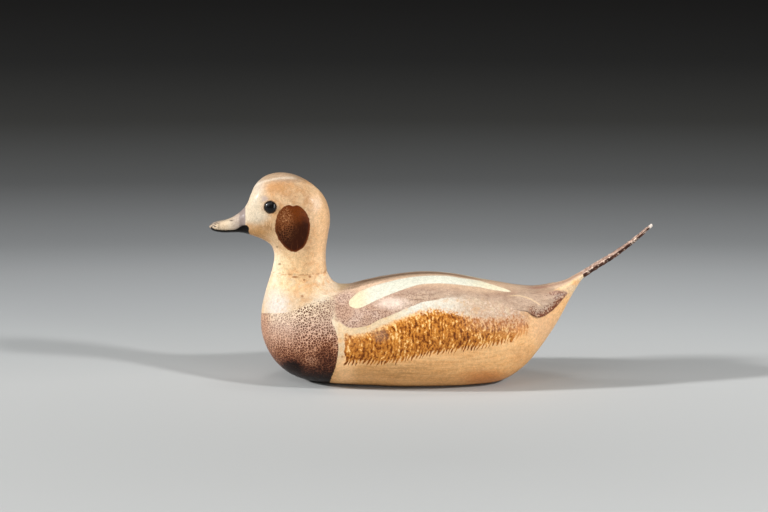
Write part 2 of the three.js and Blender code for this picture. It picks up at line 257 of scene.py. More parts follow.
class CarvingSizes(bpy.types.PropertyGroup):
    wing_relief: length("Wing relief", "How far the wing tips stand out from the rump", 1.7)
    ledge_width: length("Ledge width", "How wide the slope at the edge of a wing is", 0.4)
    tool_marks: length("Tool marks", "Depth of the hollows that the knife left", 0.1)
    seam_crease: length("Neck seam", "How deep the seam between head and body is", 0.04)
    eye_radius: length("Eye radius", "Radius of a bead eye at its rim", 2.1)
    eye_dome: length("Eye dome", "Height of a bead eye over its rim", 1.1)
    crackle: length("Crackle", "Size of the cells in the crackled paint", 0.92)
    stroke_gap: length("Stroke gap", "Space between the combed strokes on the flanks", 1.35)
    flake_depth: length("Flakes", "Thickness of the flaking paint on the tail feather", 0.12)


class DecoyPaint(bpy.types.PropertyGroup):
    bare: colour("Bare tan", "Varnished wood of the lower body", 222, 170, 114)
    bare_dark: colour("Dark tan", "The same wood where it is stained", 208, 152, 92)
    cream: colour("Cream", "Neck, upper breast and the lines along the flanks", 212, 194, 164)
    cream_stain: colour("Stained cream", "The same cream where it is orange with age", 198, 152, 100)
    stripe: colour("Stripe", "The long stripes over the shoulders", 206, 204, 187)
    mantle: colour("Mantle", "Back and wings", 176, 150, 128)
    mantle_dark: colour("Dark mantle", "Back and wings where they are shaded", 136, 106, 88)
    breast: colour("Breast", "Dark band round the breast", 58, 27, 17)
    flank: colour("Flank gold", "Golden ground of the flank panels", 196, 130, 54)
    flank_stroke: colour("Flank strokes", "Combed strokes on the flank panels", 98, 48, 16)
    head: colour("Head", "Tan of the head and the nape", 206, 169, 130)
    cheek: colour("Cheek", "The patch behind each eye", 102, 44, 10)
    bill: colour("Bill", "Pink cream of the bill", 196, 174, 146)
    bill_black: colour("Bill black", "Lower edge of the bill", 8, 3, 1)
    feather: colour("Feather", "Dark brown of the tail feather", 44, 24, 18)


class StudioSizes(bpy.types.PropertyGroup):
    camera_lift: FloatProperty(
        name="Camera lift",
        description="How far the camera looks down on the decoy",
        subtype="ANGLE",
        unit="ROTATION",
        default=PLAN_LIFT,
    )
    camera_distance: length("Camera distance", "From the camera to the middle of the decoy", PLAN_DISTANCE)
    floor_radius: length("Floor radius", "Radius of the round studio floor", 6000)
    floor_rings: IntProperty(
        name="Floor rings", description="Rings of faces in the floor", min=1, default=4
    )


# Carving


def curve_between(before, low, high, after, share):
    """Between low and high on a smooth curve through both, led by what comes before and after."""
    leave = (high - before) / 2
    arrive = (after - low) / 2
    cubic = (2 * low - 2 * high + leave + arrive) * share**3
    square = (3 * high - 3 * low - 2 * leave - arrive) * share**2
    return cubic + square + leave * share + low


def measures_at(rows, places):
    """Measures at places counted in rows, on smooth curves through all the rows."""
    last = len(rows) - 1
    first = np.clip(np.floor(places).astype(int), 0, last - 1)
    share = (places - first)[:, None]
    before = rows[np.maximum(first - 1, 0)]
    after = rows[np.minimum(first + 2, last)]
    return curve_between(before, rows[first], rows[first + 1], after, share)


def sections(places, sides):
    """One ring of points for each place, from its upper point round by +Y, in millimetres."""
    measures = measures_at(STATIONS, places)
    upper = measures[:, 0:2]
    lower = measures[:, 2:4]
    half_width, widest, arch, keel = (measures[:, i][:, None] for i in range(4, 8))
    down = lower - upper
    height = np.linalg.norm(down, axis=1)[:, None]
    down = down / height
    angle = 2 * np.pi * np.arange(sides)[None, :] / sides
    above = np.cos(angle) >= 0
    power = np.where(above, 2 / arch, 2 / keel)
    reach = np.where(above, widest, 1 - widest) * height
    along = -np.sign(np.cos(angle)) * np.abs(np.cos(angle)) ** power * reach
    across = np.sign(np.sin(angle)) * np.abs(np.sin(angle)) ** power * half_width
    from_upper = widest * height + along
    x = upper[:, 0][:, None] + down[:, 0][:, None] * from_upper
    z = upper[:, 1][:, None] + down[:, 1][:, None] * from_upper
    return np.stack([x, across, z], axis=2)


def even_places(start, end, count, closer=None):
    """Places whose rings are evenly spaced, and closer together where closer(x) is above 1."""
    fine = np.linspace(start, end, TRIAL_RINGS)
    rings = sections(fine, TRIAL_SIDES)
    step = np.linalg.norm(np.diff(rings, axis=0), axis=2).max(axis=1)
    if closer is not None:
        step = step * closer(rings[1:, :, 0].mean(axis=1))
    travelled = np.concatenate([[0.0], np.cumsum(step)])
    return np.interp(np.linspace(0, travelled[-1], count), travelled, fine)


def round_off(rings, depth, turns):
    """Adds small rings after the last one, so that the carving ends in a rounded tip."""
    last = rings[-1]
    middle = last.mean(axis=0)
    ahead = middle - rings[-3].mean(axis=0)
    ahead = ahead / np.linalg.norm(ahead)
    extra = []
    for turn in range(1, turns):
        angle = math.pi / 2 * turn / turns
        extra.append(middle + (last - middle) * math.cos(angle) + ahead * depth * math.sin(angle))
    return np.concatenate([rings, np.array(extra)])


def loft(rings):
    """Points and faces of a closed skin over a row of rings, with a fan at each end."""
    count, sides, _ = rings.shape
    points = rings.reshape(-1, 3)
    ends = np.array([rings[0].mean(axis=0), rings[-1].mean(axis=0)])
    points = np.concatenate([points, ends])
    tail = count * sides
    tip = tail + 1
    this = np.arange(sides)
    after = (this + 1) % sides
    faces = []
    for ring in range(count - 1):
        near = ring * sides
        far = near + sides
        faces.extend(np.stack([near + this, near + after, far + after, far + this], axis=1).tolist())
    faces.extend([tail, int(b), int(a)] for a, b in zip(this, after))
    last = (count - 1) * sides
    faces.extend([tip, int(last + a), int(last + b)] for a, b in zip(this, after))
    return points, faces


def smoothstep(low, high, value):
    share = np.clip((value - low) / (high - low), 0, 1)
    return share * share * (3 - 2 * share)


def side_plan(points):
    """Where points of the carving are on the painter's side plan, in millimetres."""
    ahead = np.array(points, float)
    ahead[:, 1] = -np.abs(ahead[:, 1])
    ahead = ahead - PLAN_MIDDLE
    back = np.array([0.0, -math.cos(PLAN_LIFT), math.sin(PLAN_LIFT)])
    up = np.array([0.0, math.sin(PLAN_LIFT), math.cos(PLAN_LIFT)])
    scale = PLAN_DISTANCE / (PLAN_DISTANCE - ahead @ back)
    along = PLAN_MIDDLE[0] + ahead[:, 0] * scale
    height = PLAN_MIDDLE[2] * math.cos(PLAN_LIFT) + (ahead @ up) * scale
    return np.stack([along, height], axis=1)


def smooth_outline(corners, steps=4):
    """A closed outline through the corners, with a few points between each two."""
    ring = np.array(corners, float)
    before, after, beyond = (np.roll(ring, turn, axis=0) for turn in (1, -1, -2))
    made = [curve_between(before, ring, after, beyond, step / steps) for step in range(steps)]
    return np.stack(made, axis=1).reshape(-1, 2)


def inside_by(plan, corners):
    """How far inside an outline each point of the plan is, in millimetres. Outside is negative."""
    outline = smooth_outline(corners)
    nearest = np.full(len(plan), 1e9)
    inside = np.zeros(len(plan), bool)
    for start, end in zip(outline, np.roll(outline, -1, axis=0)):
        edge = end - start
        size = max(edge @ edge, 1e-12)
        away = plan - start
        share = np.clip((away @ edge) / size, 0, 1)
        offset = away - share[:, None] * edge
        nearest = np.minimum(nearest, (offset**2).sum(axis=1))
        crosses = (start[1] > plan[:, 1]) != (end[1] > plan[:, 1])
        if abs(edge[1]) > 1e-12:
            at = start[0] + edge[0] * (plan[:, 1] - start[1]) / edge[1]
            inside ^= crosses & (plan[:, 0] < at)
    distance = np.sqrt(nearest)
    return np.where(inside, distance, -distance)


def hollows(points, depth):
    """Shallow hollows such as a knife leaves, as a shift along Y and Z, in millimetres."""
    x, y, z = points.T
    wave = np.sin(x * 0.42 + 1.3 * np.sin(z * 0.31 + y * 0.17)) * np.sin(z * 0.37 + y * 0.29 + 0.8)
    wave += 0.6 * np.sin(x * 0.83 - z * 0.54 + 2.1) * np.sin(y * 0.61 + 0.4)
    return wave * depth * 0.5


def closer_at_wing_tips(x):
    """How much closer together the rings are where the raised tips of the wings begin."""
    return 1 + 1.1 * smoothstep(20, 28, x)


def open_sockets(points, radius):
    """Sinks a round socket at each eye. Returns how far outside its rim each point is."""
    nearest = np.full(len(points), 50.0)
    for side in (-1, 1):
        centre = EYE_CENTRE * (1, side, 1)
        turn = EYE_TURN * (1, side, 1)
        turn = turn / np.linalg.norm(turn)
        away = points - centre
        along = away @ turn
        flat = away - along[:, None] * turn
        reach = np.linalg.norm(flat, axis=1)
        close = np.abs(along) < 4
        rim = radius + SOCKET_ROOM
        snap = close & (np.abs(reach - rim) < RIM_REACH)
        points[snap] += flat[snap] * ((rim - reach[snap]) / reach[snap])[:, None]
        inside = close & (reach <= rim - RIM_REACH)
        points[inside] -= turn * (SOCKET_DEPTH + along[inside])[:, None]
        nearest = np.where(close, np.minimum(nearest, reach - rim), nearest)
    return nearest


def bead(side, radius, dome):
    """Points and faces of the bead eye on one side: a root for the socket under a low dome."""
    profile = [(0.02, -1.9), (1.3, -1.9), (1.5, -1.8), (radius - 0.12, -0.7), (radius, -0.35)]
    for step in range(EYE_STEPS):
        angle = math.pi / 2 * step / EYE_STEPS
        profile.append((radius * math.cos(angle), dome * math.sin(angle)))
    profile.append((0.02, dome))
    turn = Vector(EYE_TURN * (1, side, 1)).normalized()
    spin = Vector((0, 0, 1)).rotation_difference(turn).to_matrix()
    rings = []
    for out, high in profile:
        ring = []
        for step in range(EYE_SIDES):
            angle = 2 * math.pi * step / EYE_SIDES
            ring.append(spin @ Vector((out * math.cos(angle), out * math.sin(angle), high)))
        rings.append(ring)
    return loft(np.array(rings) + EYE_CENTRE * (1, side, 1))


def add_to_scene(name, data):
    made = bpy.data.objects.new(name, data)
    bpy.context.scene.collection.objects.link(made)
    return made


def mesh_from(name, points, faces):
    mesh = bpy.data.meshes.new(name)
    mesh.from_pydata(points.tolist(), [], faces)
    mesh.validate()
    return mesh


def cut_flat(mesh, height, keep_below):
    """Cuts a closed mesh at a height and closes it again with one flat face."""
    work = bmesh.new()
    work.from_mesh(mesh)
    everything = work.verts[:] + work.edges[:] + work.faces[:]
    bmesh.ops.bisect_plane(
        work,
        geom=everything,
        dist=1e-5,
        plane_co=(0.0, 0.0, height),
        plane_no=(0.0, 0.0, 1.0),
        clear_outer=keep_below,
        clear_inner=not keep_below,
    )
    rim = [edge for edge in work.edges if edge.is_boundary]
    bmesh.ops.edgenet_fill(work, edges=rim)
    bmesh.ops.recalc_face_normals(work, faces=work.faces[:])
    work.to_mesh(mesh)
    work.free()


def turn_faces_out(mesh):
    work = bmesh.new()
    work.from_mesh(mesh)
    bmesh.ops.recalc_face_normals(work, faces=work.faces[:])
    work.to_mesh(mesh)
    work.free()


def points_of(mesh):
    flat = np.empty(len(mesh.vertices) * 3, np.float32)
    mesh.vertices.foreach_get("co", flat)
    return flat.reshape(-1, 3).astype(float)


def move_points(mesh, points):
    mesh.vertices.foreach_set("co", points.astype(np.float32).ravel())
    mesh.update()


def crease_at_cut(mesh, height, depth):
    """Draws the rim of a cut in a little, so that the seam shows as a fine crease."""
    points = points_of(mesh)
    rim = np.abs(points[:, 2] - height) < 1e-3
    middle = points[rim].mean(axis=0)
    out = points[rim][:, :2] - middle[:2]
    size = np.linalg.norm(out, axis=1)[:, None]
    points[rim, :2] -= out / size * depth
    move_points(mesh, points)


def keep_reading(mesh, name, values):
    """Stores one number, or one vector, for each point, for the paint to read."""
    kind = "FLOAT" if values.ndim == 1 else "FLOAT_VECTOR"
    field = "value" if values.ndim == 1 else "vector"
    attribute = mesh.attributes.new(name, kind, "POINT")
    attribute.data.foreach_set(field, values.astype(np.float32).ravel())


def keep_plan(mesh, outlines):
    """Stores the side plan, and how far inside each painted outline every point is."""
    plan = side_plan(points_of(mesh))
    flat = np.concatenate([plan, np.zeros((len(plan), 1))], axis=1)
    keep_reading(mesh, "plan", flat)
    for name, corners in outlines.items():
        keep_reading(mesh, name, inside_by(plan, corners))


def show(mesh, name, material, stands_for, sharp=35):
    """Puts a finished mesh in millimetres into the scene, in metres, as one piece on the body."""
    mesh.transform(Matrix.Scale(MM, 4))
    mesh.shade_smooth()
    mesh.set_sharp_from_angle(angle=math.radians(sharp))
    mesh.materials.clear()
    mesh.materials.append(material)
    piece = add_to_scene(name, mesh)
    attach(piece, "root")
    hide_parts(stands_for)


# Nodes


def linear(shade):
    """A colour for a shader, from three given numbers or from one that is linear already."""
    return tone(*shade) if len(shade) == 3 else shade


class Nodes:
    """Adds nodes to one tree, a line at a time."""

    def __init__(self, tree):
        self.tree = tree

    def feed(self, socket, value):
        if isinstance(value, bpy.types.NodeSocket):
            self.tree.links.new(value, socket)
        else:
            socket.default_value = linear(value) if socket.type == "RGBA" else value

    def add(self, kind, inputs, out=0, family="Shader", **settings):
        node = self.tree.nodes.new(family + "Node" + kind)
        for name, value in settings.items():
            setattr(node, name, value)
        for place, value in inputs.items():
            self.feed(node.inputs[place], value)
        return node.outputs[out]

    def shape(self, kind, inputs, **settings):
        """Adds a node that works on geometry."""
        return self.add(kind, inputs, family="Geometry", **settings)

    def math(self, operation, a, b=0.0):
        return self.add("Math", {0: a, 1: b}, operation=operation)

    def plus(self, a, b):
        return self.math("ADD", a, b)

    def times(self, a, b):
        return self.math("MULTIPLY", a, b)

    def most(self, a, b):
        return self.math("MAXIMUM", a, b)

    def less(self, a):
        """One minus a."""
        return self.math("SUBTRACT", 1.0, a)

    def total(self, first, *others):
        for other in others:
            first = self.plus(first, other)
        return first

    def swing(self, value, amount):
        """A value from 0 to 1, made to swing by an amount about nothing."""
        return self.times(self.plus(value, -0.5), amount)

    def ramp(self, value, start, end, high=1.0, low=0.0):
        """A soft step from low at start to high at end."""
        inputs = {0: value, 1: start, 2: end, 3: low, 4: high}
        return self.add("MapRange", inputs, interpolation_type="SMOOTHSTEP")

    def zone(self, first, *others):
        """Where all of some soft steps are high. Each is given as for a ramp."""
        made = self.ramp(*first)
        for other in others:
            made = self.times(made, self.ramp(*other))
        return made

    def bell(self, value, middle, reach):
        """1 at the middle, falling softly to 0 at reach on both sides."""
        away = self.math("ABSOLUTE", self.plus(value, -middle))
        return self.ramp(away, reach, 0.0)


class Finish(Nodes):
    """The nodes of one material, with where a point is, in millimetres."""

    def __init__(self, name):
        self.material = bpy.data.materials.new(name)
        self.material.use_nodes = True
        super().__init__(self.material.node_tree)
        self.shader = self.tree.nodes["Principled BSDF"]
        self.spot = self.stretch(self.add("TexCoord", {}, out="Object"), 1000.0, 1000.0, 1000.0)

    def set(self, **values):
        """Sets sockets of the shader itself, with _ for a space in a name."""
        for name, value in values.items():
            self.feed(self.shader.inputs[name.replace("_", " ")], value)

    def reading(self, name, out="Fac"):
        return self.add("Attribute", {}, out=out, attribute_name=name)

    def parts(self, vector):
        node = self.tree.nodes.new("ShaderNodeSeparateXYZ")
        self.feed(node.inputs[0], vector)
        return tuple(node.outputs)

    def stretch(self, vector, x, y, z):
        return self.add("VectorMath", {0: vector, 1: (x, y, z)}, operation="MULTIPLY")

    def join(self, x, y, z=0.0):
        return self.add("CombineXYZ", {0: x, 1: y, 2: z})

    def size(self, vector):
        return self.add("VectorMath", {0: vector}, out="Value", operation="LENGTH")

    def noise(self, vector, scale, detail=3.0, rough=0.55, distortion=0.0, out="Fac"):
        inputs = {
            "Vector": vector,
            "Scale": scale,
            "Detail": detail,
            "Roughness": rough,
            "Distortion": distortion,
        }
        return self.add("TexNoise", inputs, out=out)

    def streaks(self, x, y, z, scale=1.0, **settings):
        """Noise that is drawn out most along the axis with the smallest number."""
        return self.noise(self.stretch(self.spot, x, y, z), scale, **settings)

    def shaken(self, scale, amount):
        """Where a point is, shaken by noise, so that nothing runs quite straight."""
        shake = self.noise(self.spot, scale, detail=2.0, out="Color")
        inputs = {0: shake, 1: (amount, amount, amount), 2: self.spot}
        moved = self.add("VectorMath", inputs, operation="MULTIPLY_ADD")
        half = -amount / 2
        return self.add("VectorMath", {0: moved, 1: (half, half, half)}, operation="ADD")

    def between(self, share, a, b):
        """A number that goes from a to b as the share rises."""
        return self.add("Mix", {0: share, 2: a, 3: b})

    def mix(self, share, a, b):
        return self.add("Mix", {0: share, 6: a, 7: b}, out=2, data_type="RGBA")

    def dim(self, shade, grey):
        """A colour multiplied by a grey."""
        inputs = {0: 1.0, 6: shade, 7: self.join(grey, grey, grey)}
        return self.add("Mix", inputs, out=2, data_type="RGBA", blend_type="MULTIPLY")

    def coats(self, ground, *coats):
        """A ground with coats over it: each a share, a colour and, if it is thin, its strength."""
        for share, shade, *strength in coats:
            if strength:
                share = self.times(share, strength[0])
            ground = self.mix(share, ground, shade)
        return ground

    def blend(self, value, stops):
        """A colour for a value, by stops of value and colour in rising order."""
        low = stops[0][0]
        high = stops[-1][0]
        share = self.add("MapRange", {0: value, 1: low, 2: high})
        node = self.tree.nodes.new("ShaderNodeValToRGB")
        elements = node.color_ramp.elements
        while len(elements) < len(stops):
            elements.new(0.5)
        for element, (place, shade) in zip(elements, stops):
            element.position = (place - low) / (high - low)
            element.color = linear(shade)
        self.feed(node.inputs[0], share)
        return node.outputs["Color"]

    def bump(self, height, distance, strength):
        return self.add("Bump", {"Height": height, "Distance": distance, "Strength": strength})


class PaintedWood(Finish):
    """The nodes of a painted carving, with where a point is on it and how the paint is worn."""

    def __init__(self, name, crackle):
        super().__init__(name)
        self.x, self.y, self.z = self.parts(self.spot)
        self.along, self.up, _ = self.parts(self.reading("plan", out="Vector"))
        self.ragged = self.plus(self.noise(self.spot, 0.9, detail=4.0), -0.5)
        self.fine = self.plus(self.noise(self.spot, 3.2), -0.5)
        self.cloud = self.noise(self.spot, 0.16)
        cells = {"Vector": self.shaken(0.9, 0.7), "Scale": MM / max(crackle, 1e-6), "Randomness": 0.85}
        self.crazed = self.add("TexVoronoi", cells, out="Distance", feature="DISTANCE_TO_EDGE")
        self.wriggle = self.noise(self.spot, 1.3, detail=1.0, distortion=0.8)
        self.dotting = self.noise(self.spot, 1.9, detail=1.0, distortion=0.4)
        self.grit = self.noise(self.spot, 2.3, detail=2.0, rough=0.6)
        self.colour = None

    def lay(self, share, shade, *strength):
        """Lays a paint over the paints so far."""
        self.colour = self.coats(self.colour, (share, shade, *strength))

    def torn(self, value, amount, by=None):
        """A value made uneven by an amount, for the ragged edge of a paint."""
        return self.plus(value, self.times(by or self.ragged, amount))

    def arched(self, middle, bend):
        """The height on the side plan, raised away from the middle of an arch."""
        away = self.plus(self.along, -middle)
        return self.plus(self.up, self.times(self.times(away, away), bend))

    def patch(self, along, up, wide, high, strength=1.0):
        """A soft ragged oval on the side plan, by its middle and its half width and half height."""
        across = self.times(self.plus(self.along, -along), 1 / wide)
        over = self.times(self.plus(self.up, -up), 1 / high)
        return self.ramp(self.torn(self.size(self.join(across, over)), 0.7), 1.0, 0.15, strength)

    def stain(self, along, up, wide, high, strength, shade):
        self.lay(self.patch(along, up, wide, high, strength), shade)

    def mottle(self, low, high):
        """Makes the paint so far grainy, darker and lighter by small grains."""
        grey = self.ramp(self.grit, 0.34, 0.66, high, low)
        smudge = self.ramp(self.noise(self.spot, 0.85, detail=2.0), 0.38, 0.62, 1.06, 0.93)
        self.colour = self.dim(self.colour, self.times(grey, smudge))

    def varnish(self, relief, dull=None):
        """Puts the paint on the shader with its sheen and relief, duller where dull is near 1."""
        rough = self.ramp(self.noise(self.spot, 0.5, detail=4.0), 0.3, 0.7, 0.44, 0.3)
        if dull is not None:
            rough = self.plus(rough, self.times(dull, 0.05))
        self.set(Base_Color=self.colour, Roughness=rough, Normal=self.bump(relief, 0.00006, 0.8))
        self.set(Specular_IOR_Level=0.1, Coat_Weight=0.05, Coat_Roughness=0.17)
        return self.material


# Paint


def lay_bare_wood(n, paint):
    """Varnished wood of the lower body, with its grain along the duck."""
    grain = n.streaks(0.05, 0.5, 0.9, detail=6.0, rough=0.6)
    thread = n.streaks(0.09, 1.1, 2.3, detail=4.0)
    streak = n.streaks(0.12, 0.8, 1.5, detail=4.0)
    n.colour = n.mix(n.ramp(grain, 0.35, 0.66), (232, 186, 132), paint.bare)
    n.lay(n.ramp(n.cloud, 0.44, 0.7, 0.4), paint.bare_dark)
    # Darker towards the bottom of the body.
    n.lay(n.ramp(n.torn(n.up, 4.0), 10.0, 1.0, 0.65), paint.bare_dark)
    n.lay(n.ramp(thread, 0.55, 0.66, 0.32), (176, 120, 66))
    n.lay(n.ramp(thread, 0.42, 0.32, 0.3), (234, 192, 140))
    n.stain(-31.5, 3.5, 6.5, 9.0, 0.85, (250, 200, 144))
    dirt = n.times(n.patch(-11.0, 3.2, 17.0, 5.0), n.ramp(streak, 0.4, 0.6))
    n.lay(dirt, (146, 104, 50), 0.42)
    n.stain(19.5, 0.2, 13.0, 4.5, 0.6, (194, 116, 56))
    n.stain(41.0, 19.0, 10.0, 11.0, 0.6, (214, 172, 134))
    n.stain(33.0, 9.0, 7.0, 6.0, 0.35, (184, 124, 70))
    n.stain(28.0, 10.5, 12.0, 3.0, 0.3, (216, 176, 128))
    return grain


def neck_cream(n):
    """Warm cream on both sides of the seam at the neck, paler in front and tanned behind."""
    cream = n.blend(n.torn(n.along, 6.0), [
        (-61.0, (218, 186, 142)),
        (-57.0, (226, 206, 176)),
        (-53.5, (228, 202, 160)),
        (-49.0, (226, 188, 141)),
        (-44.0, (222, 182, 135)),
        (-40.0, (234, 202, 162)),
        (-36.0, (236, 210, 179)),
    ])
    tan = n.noise(n.spot, 0.33, detail=4.0, rough=0.62)
    behind = n.zone((n.along, -55.0, -49.0, 1.0, 0.25), (tan, 0.46, 0.6, 0.65))
    return n.mix(behind, cream, (212, 157, 106))


def lay_cream(n, paint, mantle_in, breast_in):
    """Cream of the upper breast, of the tail sides and along the edge of the mantle."""
    cream = n.blend(n.torn(n.along, 5.0), [
        (-62.0, (200, 172, 136)),
        # Painted highlight: the next two stops are paler, where the varnish shines on the upper breast.
        (-58.5, (206, 192, 176)),
        (-54.0, (206, 195, 184)),
        (-51.0, (202, 177, 149)),
        (-47.0, (196, 164, 128)),
        (-43.0, (202, 186, 162)),
        (-39.0, (208, 200, 182)),
        (-33.0, (208, 180, 144)),
        (-28.0, (204, 178, 142)),
        (-14.0, (204, 184, 152)),
        (-6.0, (208, 207, 194)),
        (7.0, (208, 200, 184)),
        (14.0, (194, 171, 147)),
        (30.0, (188, 158, 134)),
        (36.0, (204, 164, 124)),
        (56.0, (226, 198, 160)),
    ])
    front = n.zone((n.along, -31.0, -34.0), (n.up, 22.0, 24.0))
    by_mantle = n.zone((mantle_in, -3.2, -1.8), (n.along, -36.0, -34.0), (n.along, 33.0, 27.0))
    by_band = n.zone((breast_in, -3.0, -1.8), (n.up, 4.0, 10.0))
    above = n.zone((n.up, 19.0, 23.0), (n.along, -8.0, 0.0), (n.torn(n.along, 4.0), 38.0, 33.0))
    rump = n.zone((n.along, 42.0, 48.0), (n.torn(n.up, 2.0), 29.0, 32.5))
    pale = n.most(front, n.most(by_mantle, by_band))
    pale = n.most(pale, n.most(above, rump))
    n.lay(pale, cream)
    freckled = n.times(above, n.ramp(n.torn(n.up, 4.0), 28.0, 20.0, low=0.3))
    freckle = n.streaks(1.0, 1.0, 0.5, scale=1.3, rough=0.6)
    n.lay(n.times(freckled, n.ramp(freckle, 0.48, 0.62, 0.6)), (174, 122, 92))
    n.lay(n.times(above, n.ramp(freckle, 0.46, 0.36, 0.5)), (222, 200, 182))
    n.lay(n.zone((n.z, 30.0, 37.0), (n.x, -32.0, -36.0)), neck_cream(n))
    blotch = n.noise(n.spot, 0.42)
    n.lay(n.times(pale, n.ramp(blotch, 0.54, 0.66, 0.35)), paint.cream_stain)
    n.lay(n.times(pale, n.ramp(blotch, 0.46, 0.36, 0.4)), paint.cream)
    n.stain(-46.8, 30.1, 1.0, 0.7, 0.8, (140, 92, 52))
    n.stain(-45.0, 28.6, 4.0, 1.6, 0.5, (184, 138, 92))
    n.stain(-33.2, 14.0, 1.6, 1.6, 0.5, (206, 148, 84))
    n.stain(52.5, 35.0, 3.5, 1.6, 0.6, (222, 160, 96))


def lay_flank(n, paint, sizes, flank_in):
    """Golden flank panels with upright combed strokes, which end in teeth along the bottom."""
    gap = sizes.stroke_gap / MM
    lean = n.plus(n.along, n.times(n.math("MINIMUM", flank_in, 3.0), -0.5))
    wander = n.noise(n.join(n.times(n.along, 0.25), n.times(n.up, 0.16)), 1.0, detail=2.0)
    run = n.times(n.plus(lean, n.times(wander, 3.4)), 1 / gap)
    wave = n.math("SINE", n.times(run, 2 * math.pi))
    combed = n.noise(n.join(n.times(run, 1.15), n.times(n.up, 0.42)), 1.0, detail=2.0, rough=0.6)
    specks = n.streaks(1.0, 0.7, 0.75, scale=1.5, rough=0.62)
    patchy = n.noise(n.join(n.along, n.up), 0.14)
    strokes = n.total(
        n.times(wave, 0.035),
        n.times(combed, 0.56),
        n.times(specks, 0.5),
        n.times(patchy, 0.2),
        -0.03,
        n.patch(-3.0, 13.0, 6.0, 6.0, 0.05),
        n.patch(11.5, 14.5, 6.0, 4.5, 0.04),
        n.patch(-24.0, 7.5, 11.0, 4.0, 0.03),
        n.patch(-12.0, 15.0, 6.0, 3.6, -0.05),
        n.ramp(n.along, 12.0, 30.0, -0.03),
        n.zone((flank_in, 2.6, 0.0), (n.up, 14.0, 19.0, -0.07)),
    )
    golden = n.blend(strokes, [
        (0.47, (240, 194, 128)),
        (0.53, paint.flank),
        (0.60, (184, 116, 46)),
        (0.67, (136, 76, 26)),
        (0.73, paint.flank_stroke),
    ])
    bloom = n.zone((n.along, -20.0, -30.0), (n.up, 9.0, 14.0))
    dots = n.times(n.patch(-18.5, 16.2, 4.5, 4.0), n.ramp(n.wriggle, 0.44, 0.54))
    # Partly painted sheen: the pinkish blush over the top of the rear flank stands for its own tint and
    # for the shine of the varnish there.
    sheen = n.zone((n.torn(n.along, 8.0), 8.0, 20.0), (n.torn(n.up, 6.0), 15.0, 22.5))
    blush_and_sheen = n.mix(n.ramp(specks, 0.42, 0.6), (203, 162, 128), (160, 104, 68))
    panel = n.coats(
        golden,
        (bloom, (178, 120, 70), 0.3),
        (n.patch(-18.5, 16.2, 4.5, 4.0, 0.5), (176, 138, 108)),
        (dots, (112, 74, 54), 0.8),
        (sheen, blush_and_sheen, 0.9),
        (n.patch(33.0, 17.0, 4.5, 5.0, 0.6), (206, 138, 80)),
    )
    reach = n.total(flank_in, n.times(wave, 0.9), n.swing(combed, 3.0))
    teeth = n.ramp(reach, -0.35, 0.35)
    smooth = n.ramp(n.plus(n.torn(flank_in, 4.0), n.swing(specks, 5.0)), -0.8, 1.6)
    low_edge = n.ramp(n.plus(n.up, n.times(n.along, -0.054)), 17.0, 14.2)
    cover = n.between(low_edge, smooth, teeth)
    n.lay(cover, panel)
    return n.times(strokes, cover)


def lay_breast(n, paint, breast_in):
    """Dark breast band: crackled islands on a pale ground, closing up towards the bottom."""
    drop = n.total(
        n.torn(n.up, 4.0),
        n.patch(-38.0, 10.0, 5.5, 6.5, -4.5),
        n.patch(-50.5, 4.5, 5.5, 4.5, -6.0),
        n.patch(-43.5, 6.5, 4.5, 3.0, 4.0),
    )
    ground = n.blend(drop, [
        (0.5, (44, 22, 14)),
        (4.0, (122, 74, 50)),
        (9.0, (175, 126, 95)),
        (14.0, (195, 154, 128)),
        (19.0, (196, 164, 142)),
        (26.0, (222, 200, 170)),
    ])
    island = n.blend(drop, [
        (0.5, (18, 7, 4)),
        (4.0, paint.breast),
        (9.0, (88, 46, 28)),
        (14.0, (92, 54, 38)),
        (19.0, (102, 72, 56)),
        (26.0, (98, 68, 50)),
    ])
    network = n.plus(n.crazed, n.swing(n.wriggle, 0.22))
    opening = n.ramp(drop, 2.0, 23.0, 0.1, 0.024)
    islands = n.ramp(n.math("SUBTRACT", network, opening), -0.03, 0.06)
    # Painted highlight: fewer dark islands on the upper front of the band, where the varnish shines.
    painted_light = n.zone((n.along, -47.0, -52.0), (drop, 10.0, 16.0))
    islands = n.times(islands, n.less(n.times(painted_light, 0.35)))
    rim = n.zone((n.along, -57.0, -61.0), (n.up, 3.0, 9.0))
    shade = n.zone((n.along, -46.0, -38.0), (drop, 14.0, 24.0))
    band = n.coats(
        n.coats(ground, (rim, (176, 126, 96), 0.7)),
        (islands, n.coats(island, (rim, (60, 27, 16), 0.8))),
        (shade, (150, 122, 106), 0.4),
    )
    crisp_edge = n.ramp(n.torn(breast_in, 0.7), -0.14, 0.14)
    dots = n.ramp(n.plus(n.plus(breast_in, 0.6), n.swing(n.wriggle, -9.0)), 0.3, -0.3)
    soft_edge = n.ramp(n.torn(breast_in, 3.0), -1.4, 1.2)
    soft_edge = n.times(soft_edge, n.less(n.times(dots, n.ramp(breast_in, 1.6, 0.0))))
    top_side = n.zone((n.along, -53.0, -49.0), (n.up, 21.0, 24.0))
    n.lay(n.between(top_side, crisp_edge, soft_edge), band)
    return islands


